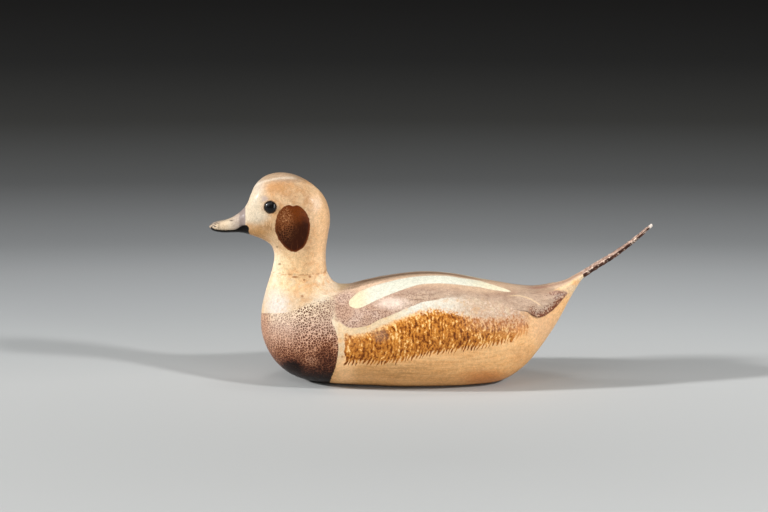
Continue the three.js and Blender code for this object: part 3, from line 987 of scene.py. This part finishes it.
def lay_mantle(n, paint, mantle_in, stripe_in):
    """Taupe mantle and wings, dotted at the front and dark along the tips of the wings, with a painted
    sheen on the front of the wing and painted top light along the back.
    """
    middle = n.math("ABSOLUTE", n.y)
    worn = n.streaks(0.3, 0.6, 1.0, scale=0.9, detail=5.0, rough=0.65)
    ground = n.mix(n.ramp(n.cloud, 0.4, 0.6), (196, 168, 150), (176, 142, 120))
    dots = n.zone(
        (n.dotting, 0.48, 0.58),
        (n.along, 10.0, -22.0, 1.0, 0.3),
        (mantle_in, 9.0, 2.0, 1.0, 0.35),
    )
    under_stripe = n.zone((stripe_in, -3.8, -0.2), (n.along, -16.0, -4.0))
    # Paler along the top of the back: partly paler paint, partly painted top light.
    top_light_on_back = n.zone((middle, 13.0, 9.0), (n.z, 33.0, 35.0))
    long_way = n.zone((n.along, -30.0, -24.0), (n.along, 24.0, 10.0))
    spine = n.times(n.ramp(middle, 2.2, 0.6), long_way)
    at_tip = n.zone((n.along, 34.0, 37.5), (middle, 6.0, 8.0))
    edge = n.ramp(n.plus(mantle_in, n.swing(n.dotting, 8.0)), 2.3, 1.1)
    flakes = n.zone((n.wriggle, 0.56, 0.62), (mantle_in, 2.2, 1.0))
    crest = n.bell(n.arched(30.5, 0.042), 30.3, 0.5)
    crest = n.times(crest, n.zone((n.along, 27.0, 30.0), (n.along, 41.0, 39.0)))
    ridge = n.zone((middle, 2.6, 1.0), (n.along, 30.0, 40.0))
    mantle = n.coats(
        n.mix(n.ramp(worn, 0.36, 0.6), (188, 162, 140), paint.mantle),
        (n.ramp(worn, 0.54, 0.7, 0.6), paint.mantle_dark),
        (n.ramp(n.along, -6.0, -17.0), ground, 0.8),
        (dots, (116, 84, 70), 0.8),
        (under_stripe, (146, 112, 92), 0.7),
        # Painted sheen: a pale patch on the front of the wing, where the varnish shines.
        (n.patch(-14.0, 27.5, 9.0, 3.4, 0.75), (226, 206, 190)),
        (top_light_on_back, (222, 190, 158), 0.6),
        (spine, (112, 80, 60), 0.6),
        (n.times(edge, at_tip), (104, 50, 26), 0.95),
        (n.times(flakes, at_tip), (210, 168, 134), 0.8),
        (n.patch(38.5, 33.4, 5.0, 1.1, 0.5), (132, 84, 64)),
        (n.patch(41.0, 32.0, 9.0, 2.2, 0.35), (140, 106, 86)),
        (n.patch(46.0, 30.6, 3.8, 2.2, 0.25), (200, 180, 168)),
        (crest, (226, 198, 158), 0.55),
        (ridge, (156, 114, 98), 0.55),
    )
    hard = n.ramp(n.torn(mantle_in, 0.8), -0.16, 0.16)
    soft = n.ramp(n.torn(mantle_in, 2.4), -1.6, 1.6)
    on_wing = n.zone((n.along, 1.0, 12.0), (n.along, 31.0, 24.0))
    by_breast = n.zone((n.along, -28.5, -32.0), (n.up, 19.5, 22.0))
    n.lay(n.between(n.most(on_wing, by_breast), hard, soft), mantle)


def lay_stripe(n, paint, stripe_in):
    """Long pale stripes over the shoulders."""
    stripe = n.coats(
        paint.stripe,
        (n.ramp(n.along, -6.0, 3.0), (217, 215, 197)),
        (n.ramp(n.along, 10.0, 22.0), (228, 218, 188)),
        (n.ramp(n.along, -20.0, -27.0, 0.8), (210, 196, 158)),
    )
    n.lay(n.ramp(n.torn(stripe_in, 0.35, n.fine), -0.12, 0.14), stripe)


def lay_body_dirt_and_floor_shade(n):
    """Grains, specks, the seam at the neck, the dark line painted as shade at the floor and the plain
    underside.
    """
    n.mottle(0.9, 1.07)
    n.lay(n.ramp(n.noise(n.spot, 1.7, detail=1.0), 0.71, 0.76, 0.4), (138, 96, 60))
    n.stain(-49.4, 37.0, 1.9, 0.6, 0.9, (152, 98, 56))
    n.stain(-46.0, 36.0, 0.7, 0.6, 0.9, (146, 92, 52))
    n.stain(-44.0, 37.1, 0.8, 0.7, 0.9, (158, 104, 62))
    seam = n.zone((n.z, 39.8, 40.15), (n.noise(n.spot, 0.5, detail=4.0), 0.44, 0.54))
    n.lay(seam, (172, 118, 72), 0.6)
    # Painted shade: a dark line along the bottom, where the body meets the floor.
    n.lay(n.ramp(n.torn(n.z, 1.2), 1.5, 0.35, 0.85), (78, 42, 22))
    sole_grain = n.streaks(0.08, 1.1, 1.0, detail=6.0)
    n.lay(n.ramp(n.z, 0.25, 0.1, 0.9), n.mix(sole_grain, (150, 108, 70), (206, 164, 118)))


def body_paint(paint, sizes):
    n = PaintedWood("painted_body", sizes.crackle)
    breast_in, mantle_in, stripe_in, flank_in = [n.reading(name) for name in BODY_OUTLINES]
    grain = lay_bare_wood(n, paint)
    lay_cream(n, paint, mantle_in, breast_in)
    strokes = lay_flank(n, paint, sizes, flank_in)
    islands = lay_breast(n, paint, breast_in)
    lay_mantle(n, paint, mantle_in, stripe_in)
    lay_stripe(n, paint, stripe_in)
    lay_body_dirt_and_floor_shade(n)
    cracks = n.times(n.ramp(n.crazed, 0.0, 0.14), 0.35)
    relief = n.total(cracks, n.times(grain, 0.5), strokes, n.times(n.grit, 0.3))
    return n.varnish(relief, islands)


def lay_head_tan(n, paint):
    """Tan head with its paler face and neck, its grime, the brown band along the crown, partly painted
    shade, and painted highlights on the forehead, the crown and the nape.
    """
    n.colour = n.mix(n.ramp(n.cloud, 0.38, 0.66), paint.head, (194, 151, 107))
    blotch = n.noise(n.spot, 0.36, detail=5.0, rough=0.62)
    n.lay(n.ramp(blotch, 0.5, 0.62, 0.5), (186, 135, 86))
    n.lay(n.ramp(blotch, 0.47, 0.36, 0.45), (222, 192, 153))
    n.lay(n.zone((n.along, -57.5, -63.5), (n.up, 55.0, 58.0)), (206, 192, 168), 0.85)
    # Painted highlight: a pale grey patch on the forehead.
    n.stain(-62.5, 70.5, 4.0, 4.5, 0.6, (188, 173, 158))
    n.lay(n.ramp(n.torn(n.z, 5.0), 53.0, 44.0), neck_cream(n))
    n.stain(-55.5, 69.8, 8.0, 4.5, 0.65, (182, 133, 86))
    n.stain(-50.5, 66.0, 5.0, 2.6, 0.4, (180, 133, 90))
    n.stain(-56.5, 54.5, 7.0, 7.0, 0.7, (230, 194, 151))
    n.stain(-61.5, 59.0, 4.5, 3.0, 0.6, (216, 200, 176))
    n.lay(n.zone((n.along, -45.0, -40.5), (n.up, 70.0, 66.0, 0.6)), (230, 188, 143))
    # Painted highlight: a pale patch on the nape.
    n.stain(-41.3, 63.5, 2.6, 4.5, 0.45, (236, 210, 185))
    middle = n.math("ABSOLUTE", n.y)
    # A brown band along the crown: partly its own brown tint, partly painted shade where the crown turns
    # away from the light.
    n.lay(n.zone((n.torn(n.z, 2.0), 72.6, 74.8), (middle, 7.5, 4.5)), (158, 135, 113), 0.75)
    # Painted highlight: a pale line along the crown, where the top light would shine.
    crown_highlight_line = n.bell(n.arched(-52.0, 0.019), 73.0, 0.75)
    n.lay(n.times(crown_highlight_line, n.ramp(n.along, -48.0, -51.0, 0.4)), (232, 218, 197))
    n.lay(n.zone((n.x, -41.0, -38.5), (middle, 5.0, 2.5)), (166, 133, 101), 0.5)
    n.stain(-63.5, 53.0, 7.0, 3.6, 0.85, (196, 147, 92))
    n.stain(-66.5, 52.6, 2.0, 2.0, 0.6, (176, 118, 63))
    drips = n.streaks(1.8, 1.0, 0.25)
    n.lay(n.times(n.patch(-58.0, 55.3, 6.0, 3.2), n.ramp(drips, 0.42, 0.58)), (186, 143, 99))
    n.mottle(0.88, 1.08)
    n.lay(n.ramp(n.noise(n.spot, 1.5, detail=1.0), 0.71, 0.76, 0.45), (136, 94, 57))
    n.stain(-54.9, 41.7, 0.8, 0.6, 0.8, (130, 94, 59))
    n.stain(-55.8, 47.9, 0.7, 0.6, 0.8, (120, 98, 67))
    seam = n.zone((n.z, 41.3, 40.5), (n.noise(n.spot, 0.6, detail=4.0), 0.5, 0.6))
    n.lay(seam, (164, 116, 74), 0.5)


def lay_cheeks(n, paint, cheek_in):
    """Cheek patches, dark at the bottom and crackled at the upper front."""
    deep = n.plus(n.torn(n.up, 5.0), n.times(n.plus(n.along, 49.0), -0.3))
    beads = n.times(n.ramp(n.grit, 0.54, 0.62), n.patch(-53.0, 59.0, 3.4, 4.4, 1.1))
    crazing = n.times(n.ramp(n.crazed, 0.12, 0.02), n.patch(-52.8, 56.0, 5.0, 8.0, 0.62))
    cheek = n.coats(
        paint.cheek,
        (n.ramp(n.cloud, 0.4, 0.6), (106, 50, 12)),
        (n.patch(-45.8, 58.5, 2.4, 5.0, 0.6), (104, 48, 12)),
        (n.ramp(n.grit, 0.5, 0.38, 0.4), (62, 28, 10)),
        (n.zone((deep, 59.5, 54.0), (cheek_in, 0.0, 1.0)), (42, 12, 0), 0.9),
        (n.patch(-53.2, 58.3, 4.2, 5.8), (112, 62, 30), 0.25),
        (beads, (206, 154, 108), 0.7),
        (crazing, (156, 98, 58)),
        (n.ramp(n.streaks(2.6, 1.0, 0.3), 0.56, 0.66, 0.25), (124, 70, 40)),
    )
    n.lay(n.ramp(n.torn(cheek_in, 0.7), -0.16, 0.2), cheek)


def lay_bill(n, paint, mandible_in):
    """Pink cream bill, with a grey band at its root and a black lower edge."""
    top = n.ramp(n.plus(n.times(n.plus(n.along, 74.0), -0.45), n.up), 57.4, 59.0)
    flecks = n.zone((n.along, -75.6, -78.6), (n.wriggle, 0.48, 0.56), (n.torn(n.up, 1.5), 57.4, 56.4))
    nostril = n.times(n.bell(n.along, -72.4, 1.1), n.bell(n.up, 57.5, 0.5))
    bill = n.coats(
        paint.bill,
        (n.ramp(n.cloud, 0.4, 0.6), (204, 186, 160)),
        (n.ramp(n.along, -74.5, -69.8, 0.7), (166, 150, 144)),
        (n.ramp(n.grit, 0.52, 0.62, 0.45), (164, 142, 118)),
        (n.ramp(n.grit, 0.46, 0.36, 0.35), (216, 198, 170)),
        (top, (142, 130, 122), 0.75),
        (n.ramp(n.torn(n.along, 0.8), -69.9, -69.3), (138, 124, 118), 0.9),
        (flecks, (54, 38, 32), 0.9),
        (nostril, (92, 74, 64), 0.9),
    )
    n.lay(n.ramp(n.torn(n.along, 0.25, n.fine), -67.2, -67.45), bill)
    n.lay(n.ramp(n.torn(mandible_in, 0.5), -0.12, 0.16), paint.bill_black)


def head_paint(paint, sizes):
    n = PaintedWood("painted_head", sizes.crackle * 0.9)
    cheek_in, mandible_in = [n.reading(name) for name in HEAD_OUTLINES]
    lay_head_tan(n, paint)
    lay_cheeks(n, paint, cheek_in)
    lay_bill(n, paint, mandible_in)

    # A bluish patch before each eye, painted as a reflection, and a thin dark line round it, of paint and
    # dirt and also painted shade where the bead meets the head.
    n.stain(-60.4, 65.4, 2.0, 1.8, 0.6, (158, 144, 144))
    eye_line = n.ramp(n.torn(n.reading("eye_out"), 0.3, n.fine), 0.42, 0.2, 0.85)
    n.lay(eye_line, (56, 38, 32))
    cracks = n.times(n.ramp(n.crazed, 0.0, 0.12), 0.3)
    return n.varnish(n.total(cracks, n.times(n.grit, 0.35), n.noise(n.spot, 0.7)))


def bead_glass():
    n = Finish("black_bead_glass")
    scratch = n.streaks(3.0, 1.0, 0.8, scale=1.5, detail=4.0)
    shade = n.mix(n.ramp(scratch, 0.45, 0.7), (5, 4, 4), (20, 14, 13))
    rough = n.ramp(scratch, 0.35, 0.7, 0.38, 0.26)
    n.set(Base_Color=shade, Roughness=rough, Normal=n.bump(scratch, 0.00001, 0.3))
    n.set(IOR=1.5, Specular_IOR_Level=0.3, Coat_Weight=0.06, Coat_Roughness=0.15)
    return n.material


def feather_paint(paint):
    n = Finish("painted_feather")
    top = n.reading("top")
    grain = n.streaks(0.3, 2.4, 0.5, detail=5.0)
    flake = n.noise(n.shaken(0.7, 1.0), 0.85, detail=4.0, rough=0.65)
    dark = n.mix(n.ramp(grain, 0.35, 0.68), paint.feather, (84, 54, 42))
    # Painted light: the top face is lighter, as where light falls on it.
    painted_light = n.mix(n.ramp(grain, 0.42, 0.6), (116, 82, 68), (210, 180, 162))
    tip = n.plus(n.reading("along"), n.times(flake, 0.04))
    shade = n.coats(
        dark,
        (n.ramp(n.plus(top, n.swing(flake, 1.4)), 0.4, 0.75), painted_light),
        (n.zone((flake, 0.56, 0.61), (top, -0.2, 0.5, 0.9, 0.3)), (232, 208, 188)),
        (n.ramp(tip, 0.965, 0.995), (220, 208, 196)),
    )
    rough = n.ramp(flake, 0.4, 0.62, 0.6, 0.42)
    n.set(Base_Color=shade, Roughness=rough, Normal=n.bump(n.plus(flake, grain), 0.0001, 0.7))
    n.set(Specular_IOR_Level=0.15, Coat_Weight=0.03, Coat_Roughness=0.3)
    return n.material


# Tail feather


FEATHER_INPUTS = (
    ("Line", "Geometry", None),
    ("Rings", "Int", 180),
    ("Section thickness", "Float", 0.29),
    ("Section rounding", "Float", 0.13),
    ("Flake depth", "Float", 0.12 * MM),
    ("Flake scale", "Float", 900.0),
    ("Seed", "Float", 7.0),
)


def feather_tree(material):
    """Nodes that sweep a flat rounded section along a line and lift flakes on it."""
    tree = bpy.data.node_groups.new("Tail feather", "GeometryNodeTree")
    sockets = {}
    for name, kind, value in FEATHER_INPUTS:
        socket = tree.interface.new_socket(name, in_out="INPUT", socket_type="NodeSocket" + kind)
        if value is not None:
            socket.default_value = value
        sockets[name] = socket.identifier
    tree.interface.new_socket("Feather", in_out="OUTPUT", socket_type="NodeSocketGeometry")
    n = Nodes(tree)
    given = tree.nodes.new("NodeGroupInput").outputs

    def noted(name, geometry, value):
        inputs = {"Geometry": geometry, "Name": name, "Value": value}
        return n.shape("StoreNamedAttribute", inputs, data_type="FLOAT", domain="POINT")

    width = n.shape("InputNamedAttribute", {"Name": "half_width"}, data_type="FLOAT")
    line = n.shape("MeshToCurve", {"Mesh": given["Line"]})
    line = n.shape("SetCurveRadius", {"Curve": line, "Radius": width})
    line = n.shape("SetCurveNormal", {"Curve": line}, mode="Z_UP")
    line = n.shape("ResampleCurve", {"Curve": line, "Count": given["Rings"]})
    line = noted("along", line, n.shape("SplineParameter", {}))

    # The section is two half widths across.
    thickness = n.times(given["Section thickness"], 2.0)
    section = n.shape("CurvePrimitiveQuadrilateral", {"Width": 2.0, "Height": thickness})
    corner = {"Curve": section, "Count": 5, "Radius": given["Section rounding"]}
    section = n.shape("FilletCurve", corner, mode="POLY")
    section = n.shape("ResampleCurve", {"Curve": section, "Count": 96})
    swept = {"Curve": line, "Profile Curve": section, "Scale": n.shape("InputRadius", {})}
    feather = n.shape("CurveToMesh", {**swept, "Fill Caps": True})

    facing = n.shape("InputNormal", {})
    feather = noted("top", feather, n.add("SeparateXYZ", {"Vector": facing}, out="Z"))
    cloudy = {"Scale": given["Flake scale"], "W": given["Seed"], "Detail": 3.0}
    cloudy = n.add("TexNoise", cloudy, out="Fac", noise_dimensions="4D")
    sunk = n.times(n.ramp(cloudy, 0.46, 0.56, 0.0, -1.0), given["Flake depth"])
    offset = n.add("VectorMath", {0: facing, "Scale": sunk}, operation="SCALE")
    feather = n.shape("SetPosition", {"Geometry": feather, "Offset": offset})
    feather = n.shape("RealizeInstances", {"Geometry": feather})
    feather = n.shape("SetMaterial", {"Geometry": feather, "Material": material})
    n.feed(tree.nodes.new("NodeGroupOutput").inputs["Feather"], feather)
    return tree, sockets


def feather_line():
    """The centre line of the feather as a row of points in metres, with half its width."""
    places = np.linspace(0, len(FEATHER_LINE) - 1, FEATHER_POINTS)
    made = measures_at(FEATHER_LINE, places) * MM
    points = [(x, 0.0, z) for x, z, _ in made]
    mesh = bpy.data.meshes.new("feather_line")
    mesh.from_pydata(points, [(i, i + 1) for i in range(len(points) - 1)], [])
    keep_reading(mesh, "half_width", made[:, 2] / 2)
    return mesh


# Studio


def paper_with_painted_light_pool():
    """Matt grey paper with painted light: pale round the duck as a painted pool of light, darker further
    out and to the left.
    """
    n = Finish("paper_with_painted_light_pool")
    x, y, _ = n.parts(n.spot)
    away = n.size(n.join(n.times(x, 0.45), n.plus(y, 100.0)))
    shade = n.blend(away, [
        (0.0, (166, 167, 166)),
        (60.0, (172, 173, 172)),
        (110.0, (177, 178, 177)),
        (175.0, (167, 169, 169)),
        (226.0, (156, 158, 159)),
        (285.0, (142, 144, 145)),
        (351.0, (116, 118, 119)),
        (507.0, (78, 79, 79)),
        (713.0, (50, 50, 48)),
        (992.0, (32, 32, 31)),
        (1355.0, (26, 25, 24)),
        (2400.0, (19, 19, 18)),
    ])
    # Painted shade and light: darker to the left and lighter to the right.
    shade = n.dim(shade, n.ramp(x, -260.0, 220.0, 1.06, 0.93))
    tooth = n.noise(n.spot, 1.4)
    n.set(Base_Color=shade, Roughness=0.85, Normal=n.bump(tooth, 0.00004, 0.5))
    n.set(Specular_IOR_Level=0.2)
    return n.material


def lay_floor(studio):
    """A wide round sheet of paper."""
    rings = studio.floor_rings
    points = [(0.0, 0.0, 0.0)]
    faces = []
    sides = FLOOR_SIDES
    for ring in range(1, rings + 1):
        reach = studio.floor_radius * ring / rings
        for side in range(sides):
            angle = 2 * math.pi * side / sides
            points.append((reach * math.cos(angle), reach * math.sin(angle), 0.0))
    for side in range(sides):
        after = (side + 1) % sides
        faces.append((0, 1 + side, 1 + after))
        for ring in range(rings - 1):
            near = 1 + ring * sides
            far = near + sides
            faces.append((near + side, far + side, far + after, near + after))
    mesh = mesh_from("studio_floor", np.array(points), faces)
    mesh.materials.append(paper_with_painted_light_pool())
    add_to_scene("studio_floor", mesh)


def hang_lights():
    """Lamps and soft boxes at both sides, a soft box overhead and a small lamp behind."""
    aim = Vector((0.0, 0.0, 0.03))
    lamps = [
        ("left_lamp", (-2.0, -0.28, 0.90), 0.15, 63.0),
        ("left_box", (-1.02, -0.6, 0.92), 1.1, 5.0),
        ("right_lamp", (1.35, -0.7, 1.0), 0.16, 24.0),
        ("low_box", (0.9, -1.0, 0.22), 0.4, 7.0),
        ("top_box", (-0.35, -0.75, 1.2), 0.9, 2.8),
        ("back_lamp", (-0.08, 0.16, 1.0), 0.25, 1.4),
    ]
    for name, place, size, power in lamps:
        data = bpy.data.lights.new(name, "AREA")
        data.shape = "SQUARE"
        data.size = size
        data.energy = power
        lamp = add_to_scene(name, data)
        lamp.location = place
        lamp.rotation_euler = (Vector(place) - aim).to_track_quat("Z", "Y").to_euler()
    world = bpy.data.worlds.new("studio_air")
    world.use_nodes = True
    air = world.node_tree.nodes["Background"]
    air.inputs["Color"].default_value = (1.0, 1.0, 1.0, 1.0)
    air.inputs["Strength"].default_value = 0.01
    bpy.context.scene.world = world


def set_up_camera(studio):
    """A camera that looks at the duck's left side, from a little above."""
    lift = studio.camera_lift
    back = Vector((0.0, -math.cos(lift), math.sin(lift)))
    data = bpy.data.cameras.new("Camera")
    data.lens = 116.28
    data.sensor_width = 36.0
    data.clip_end = 50.0
    camera = add_to_scene("Camera", data)
    camera.location = Vector(PLAN_MIDDLE) * MM + back * studio.camera_distance
    camera.rotation_euler = (math.pi / 2 - lift, 0.0, 0.0)
    bpy.context.scene.camera = camera


# Operators


class DECOY_OT_body(bpy.types.Operator):
    """Carves the body with its raised wings and flat underside, and paints it"""

    bl_idname = "decoy.body"
    bl_label = "Body"

    def execute(self, context):
        sizes = context.scene.decoy_sizes
        places = even_places(0.0, NECK_STATION + 0.8, BODY_RINGS, closer_at_wing_tips)
        rings = sections(places, BODY_SIDES)
        rings = round_off(rings[::-1], 0.05, 2)[::-1]
        points, faces = loft(rings)
        points[:, 2] += hollows(points, sizes.tool_marks / MM) * (points[:, 2] > SOLE_TOP)
        wing_in = inside_by(side_plan(points), WING)
        rise = sizes.wing_relief / MM * smoothstep(*WING_RISE, points[:, 0])
        rise = rise * smoothstep(0, sizes.ledge_width / MM, wing_in)
        points[:, 1] += np.sign(points[:, 1]) * rise * (points[:, 0] > 0)
        points[:, 2] = 0.5 * (points[:, 2] + np.sqrt(points[:, 2] ** 2 + SOLE_ROUNDING**2))
        mesh = mesh_from("body_carving", points, faces)
        cut_flat(mesh, NECK_SEAT - NECK_GAP, keep_below=True)
        crease_at_cut(mesh, NECK_SEAT - NECK_GAP, sizes.seam_crease / MM)
        keep_plan(mesh, BODY_OUTLINES)
        material = body_paint(context.scene.decoy_paint, sizes)
        show(mesh, "carved_body", material, "body")
        return {"FINISHED"}


class DECOY_OT_head(bpy.types.Operator):
    """Carves the head with its eye sockets and the line of its bill, and paints it"""

    bl_idname = "decoy.head"
    bl_label = "Head"

    def execute(self, context):
        sizes = context.scene.decoy_sizes
        places = even_places(NECK_STATION - 0.6, len(STATIONS) - 1, HEAD_RINGS)
        rings = sections(places, HEAD_SIDES)
        rings = round_off(rings, 0.25, 5)
        points, faces = loft(rings)
        points[:, 1] += hollows(points, sizes.tool_marks / MM) * (points[:, 0] > BILL_ROOT)
        out = open_sockets(points, sizes.eye_radius / MM)
        mouth = inside_by(side_plan(points), LOWER_MANDIBLE)
        groove = np.exp(-((mouth / GROOVE_REACH) ** 2)) * (points[:, 0] < GROOVE_START)
        points[:, 1] -= np.sign(points[:, 1]) * GROOVE_DEPTH * groove
        mesh = mesh_from("head_carving", points, faces)
        keep_reading(mesh, "eye_out", out)
        cut_flat(mesh, NECK_SEAT + NECK_GAP, keep_below=False)
        crease_at_cut(mesh, NECK_SEAT + NECK_GAP, sizes.seam_crease / MM)
        keep_plan(mesh, HEAD_OUTLINES)
        material = head_paint(context.scene.decoy_paint, sizes)
        show(mesh, "carved_head", material, "head", sharp=50)
        return {"FINISHED"}


class DECOY_OT_eyes(bpy.types.Operator):
    """Turns the two bead eyes and sets them in their sockets"""

    bl_idname = "decoy.eyes"
    bl_label = "Eyes"

    def execute(self, context):
        sizes = context.scene.decoy_sizes
        material = bead_glass()
        for name, side in (("eye_left", -1), ("eye_right", 1)):
            points, faces = bead(side, sizes.eye_radius / MM, sizes.eye_dome / MM)
            mesh = mesh_from("bead_" + name, points, faces)
            turn_faces_out(mesh)
            show(mesh, "bead_" + name, material, name, sharp=60)
        return {"FINISHED"}


class DECOY_OT_tail_feather(bpy.types.Operator):
    """Sweeps the thin tail feather along its line and flakes its paint"""

    bl_idname = "decoy.tail_feather"
    bl_label = "Tail feather"

    def execute(self, context):
        sizes = context.scene.decoy_sizes
        material = feather_paint(context.scene.decoy_paint)
        tree, sockets = feather_tree(material)
        guide = add_to_scene("feather_guide", feather_line())
        sweep = guide.modifiers.new("Sweep", "NODES")
        sweep.node_group = tree
        sweep[sockets["Flake depth"]] = sizes.flake_depth
        context.view_layer.update()
        evaluated = guide.evaluated_get(context.evaluated_depsgraph_get())
        mesh = bpy.data.meshes.new_from_object(evaluated)
        guide.modifiers.clear()
        bpy.data.objects.remove(guide)
        turn_faces_out(mesh)
        mesh.transform(Matrix.Scale(1 / MM, 4))
        show(mesh, "swept_tail_feather", material, "tail_feather", sharp=50)
        return {"FINISHED"}


class DECOY_OT_studio(bpy.types.Operator):
    """Lays the pale studio floor, hangs the soft lights and sets up the camera"""

    bl_idname = "decoy.studio"
    bl_label = "Studio"

    def execute(self, context):
        studio = context.scene.decoy_studio
        lay_floor(studio)
        hang_lights()
        set_up_camera(studio)
        context.scene.view_settings.view_transform = "Standard"
        return {"FINISHED"}


class DECOY_PT_panel(bpy.types.Panel):
    """Lists the pieces of the decoy with their sizes and colours"""

    bl_idname = "DECOY_PT_panel"
    bl_label = "Duck Decoy"
    bl_space_type = "VIEW_3D"
    bl_region_type = "UI"
    bl_category = "Duck Decoy"

    def draw(self, context):
        layout = self.layout
        for operator in PIECE_OPERATORS:
            layout.operator(operator.bl_idname)
        scene = context.scene
        for group in (scene.decoy_sizes, scene.decoy_paint, scene.decoy_studio):
            box = layout.box()
            for name in group.bl_rna.properties.keys():
                if name not in ("rna_type", "name"):
                    box.prop(group, name)


PIECE_OPERATORS = (
    DECOY_OT_body,
    DECOY_OT_head,
    DECOY_OT_eyes,
    DECOY_OT_tail_feather,
    DECOY_OT_studio,
)
CLASSES = (CarvingSizes, DecoyPaint, StudioSizes, *PIECE_OPERATORS, DECOY_PT_panel)


def register():
    for each in CLASSES:
        bpy.utils.register_class(each)
    bpy.types.Scene.decoy_sizes = PointerProperty(type=CarvingSizes)
    bpy.types.Scene.decoy_paint = PointerProperty(type=DecoyPaint)
    bpy.types.Scene.decoy_studio = PointerProperty(type=StudioSizes)


def unregister():
    del bpy.types.Scene.decoy_studio
    del bpy.types.Scene.decoy_paint
    del bpy.types.Scene.decoy_sizes
    for each in reversed(CLASSES):
        bpy.utils.unregister_class(each)


def main():
    register()
    bpy.ops.decoy.body()
    bpy.ops.decoy.head()
    bpy.ops.decoy.eyes()
    bpy.ops.decoy.tail_feather()
    bpy.ops.decoy.studio()


if __name__ == "__main__":
    main()
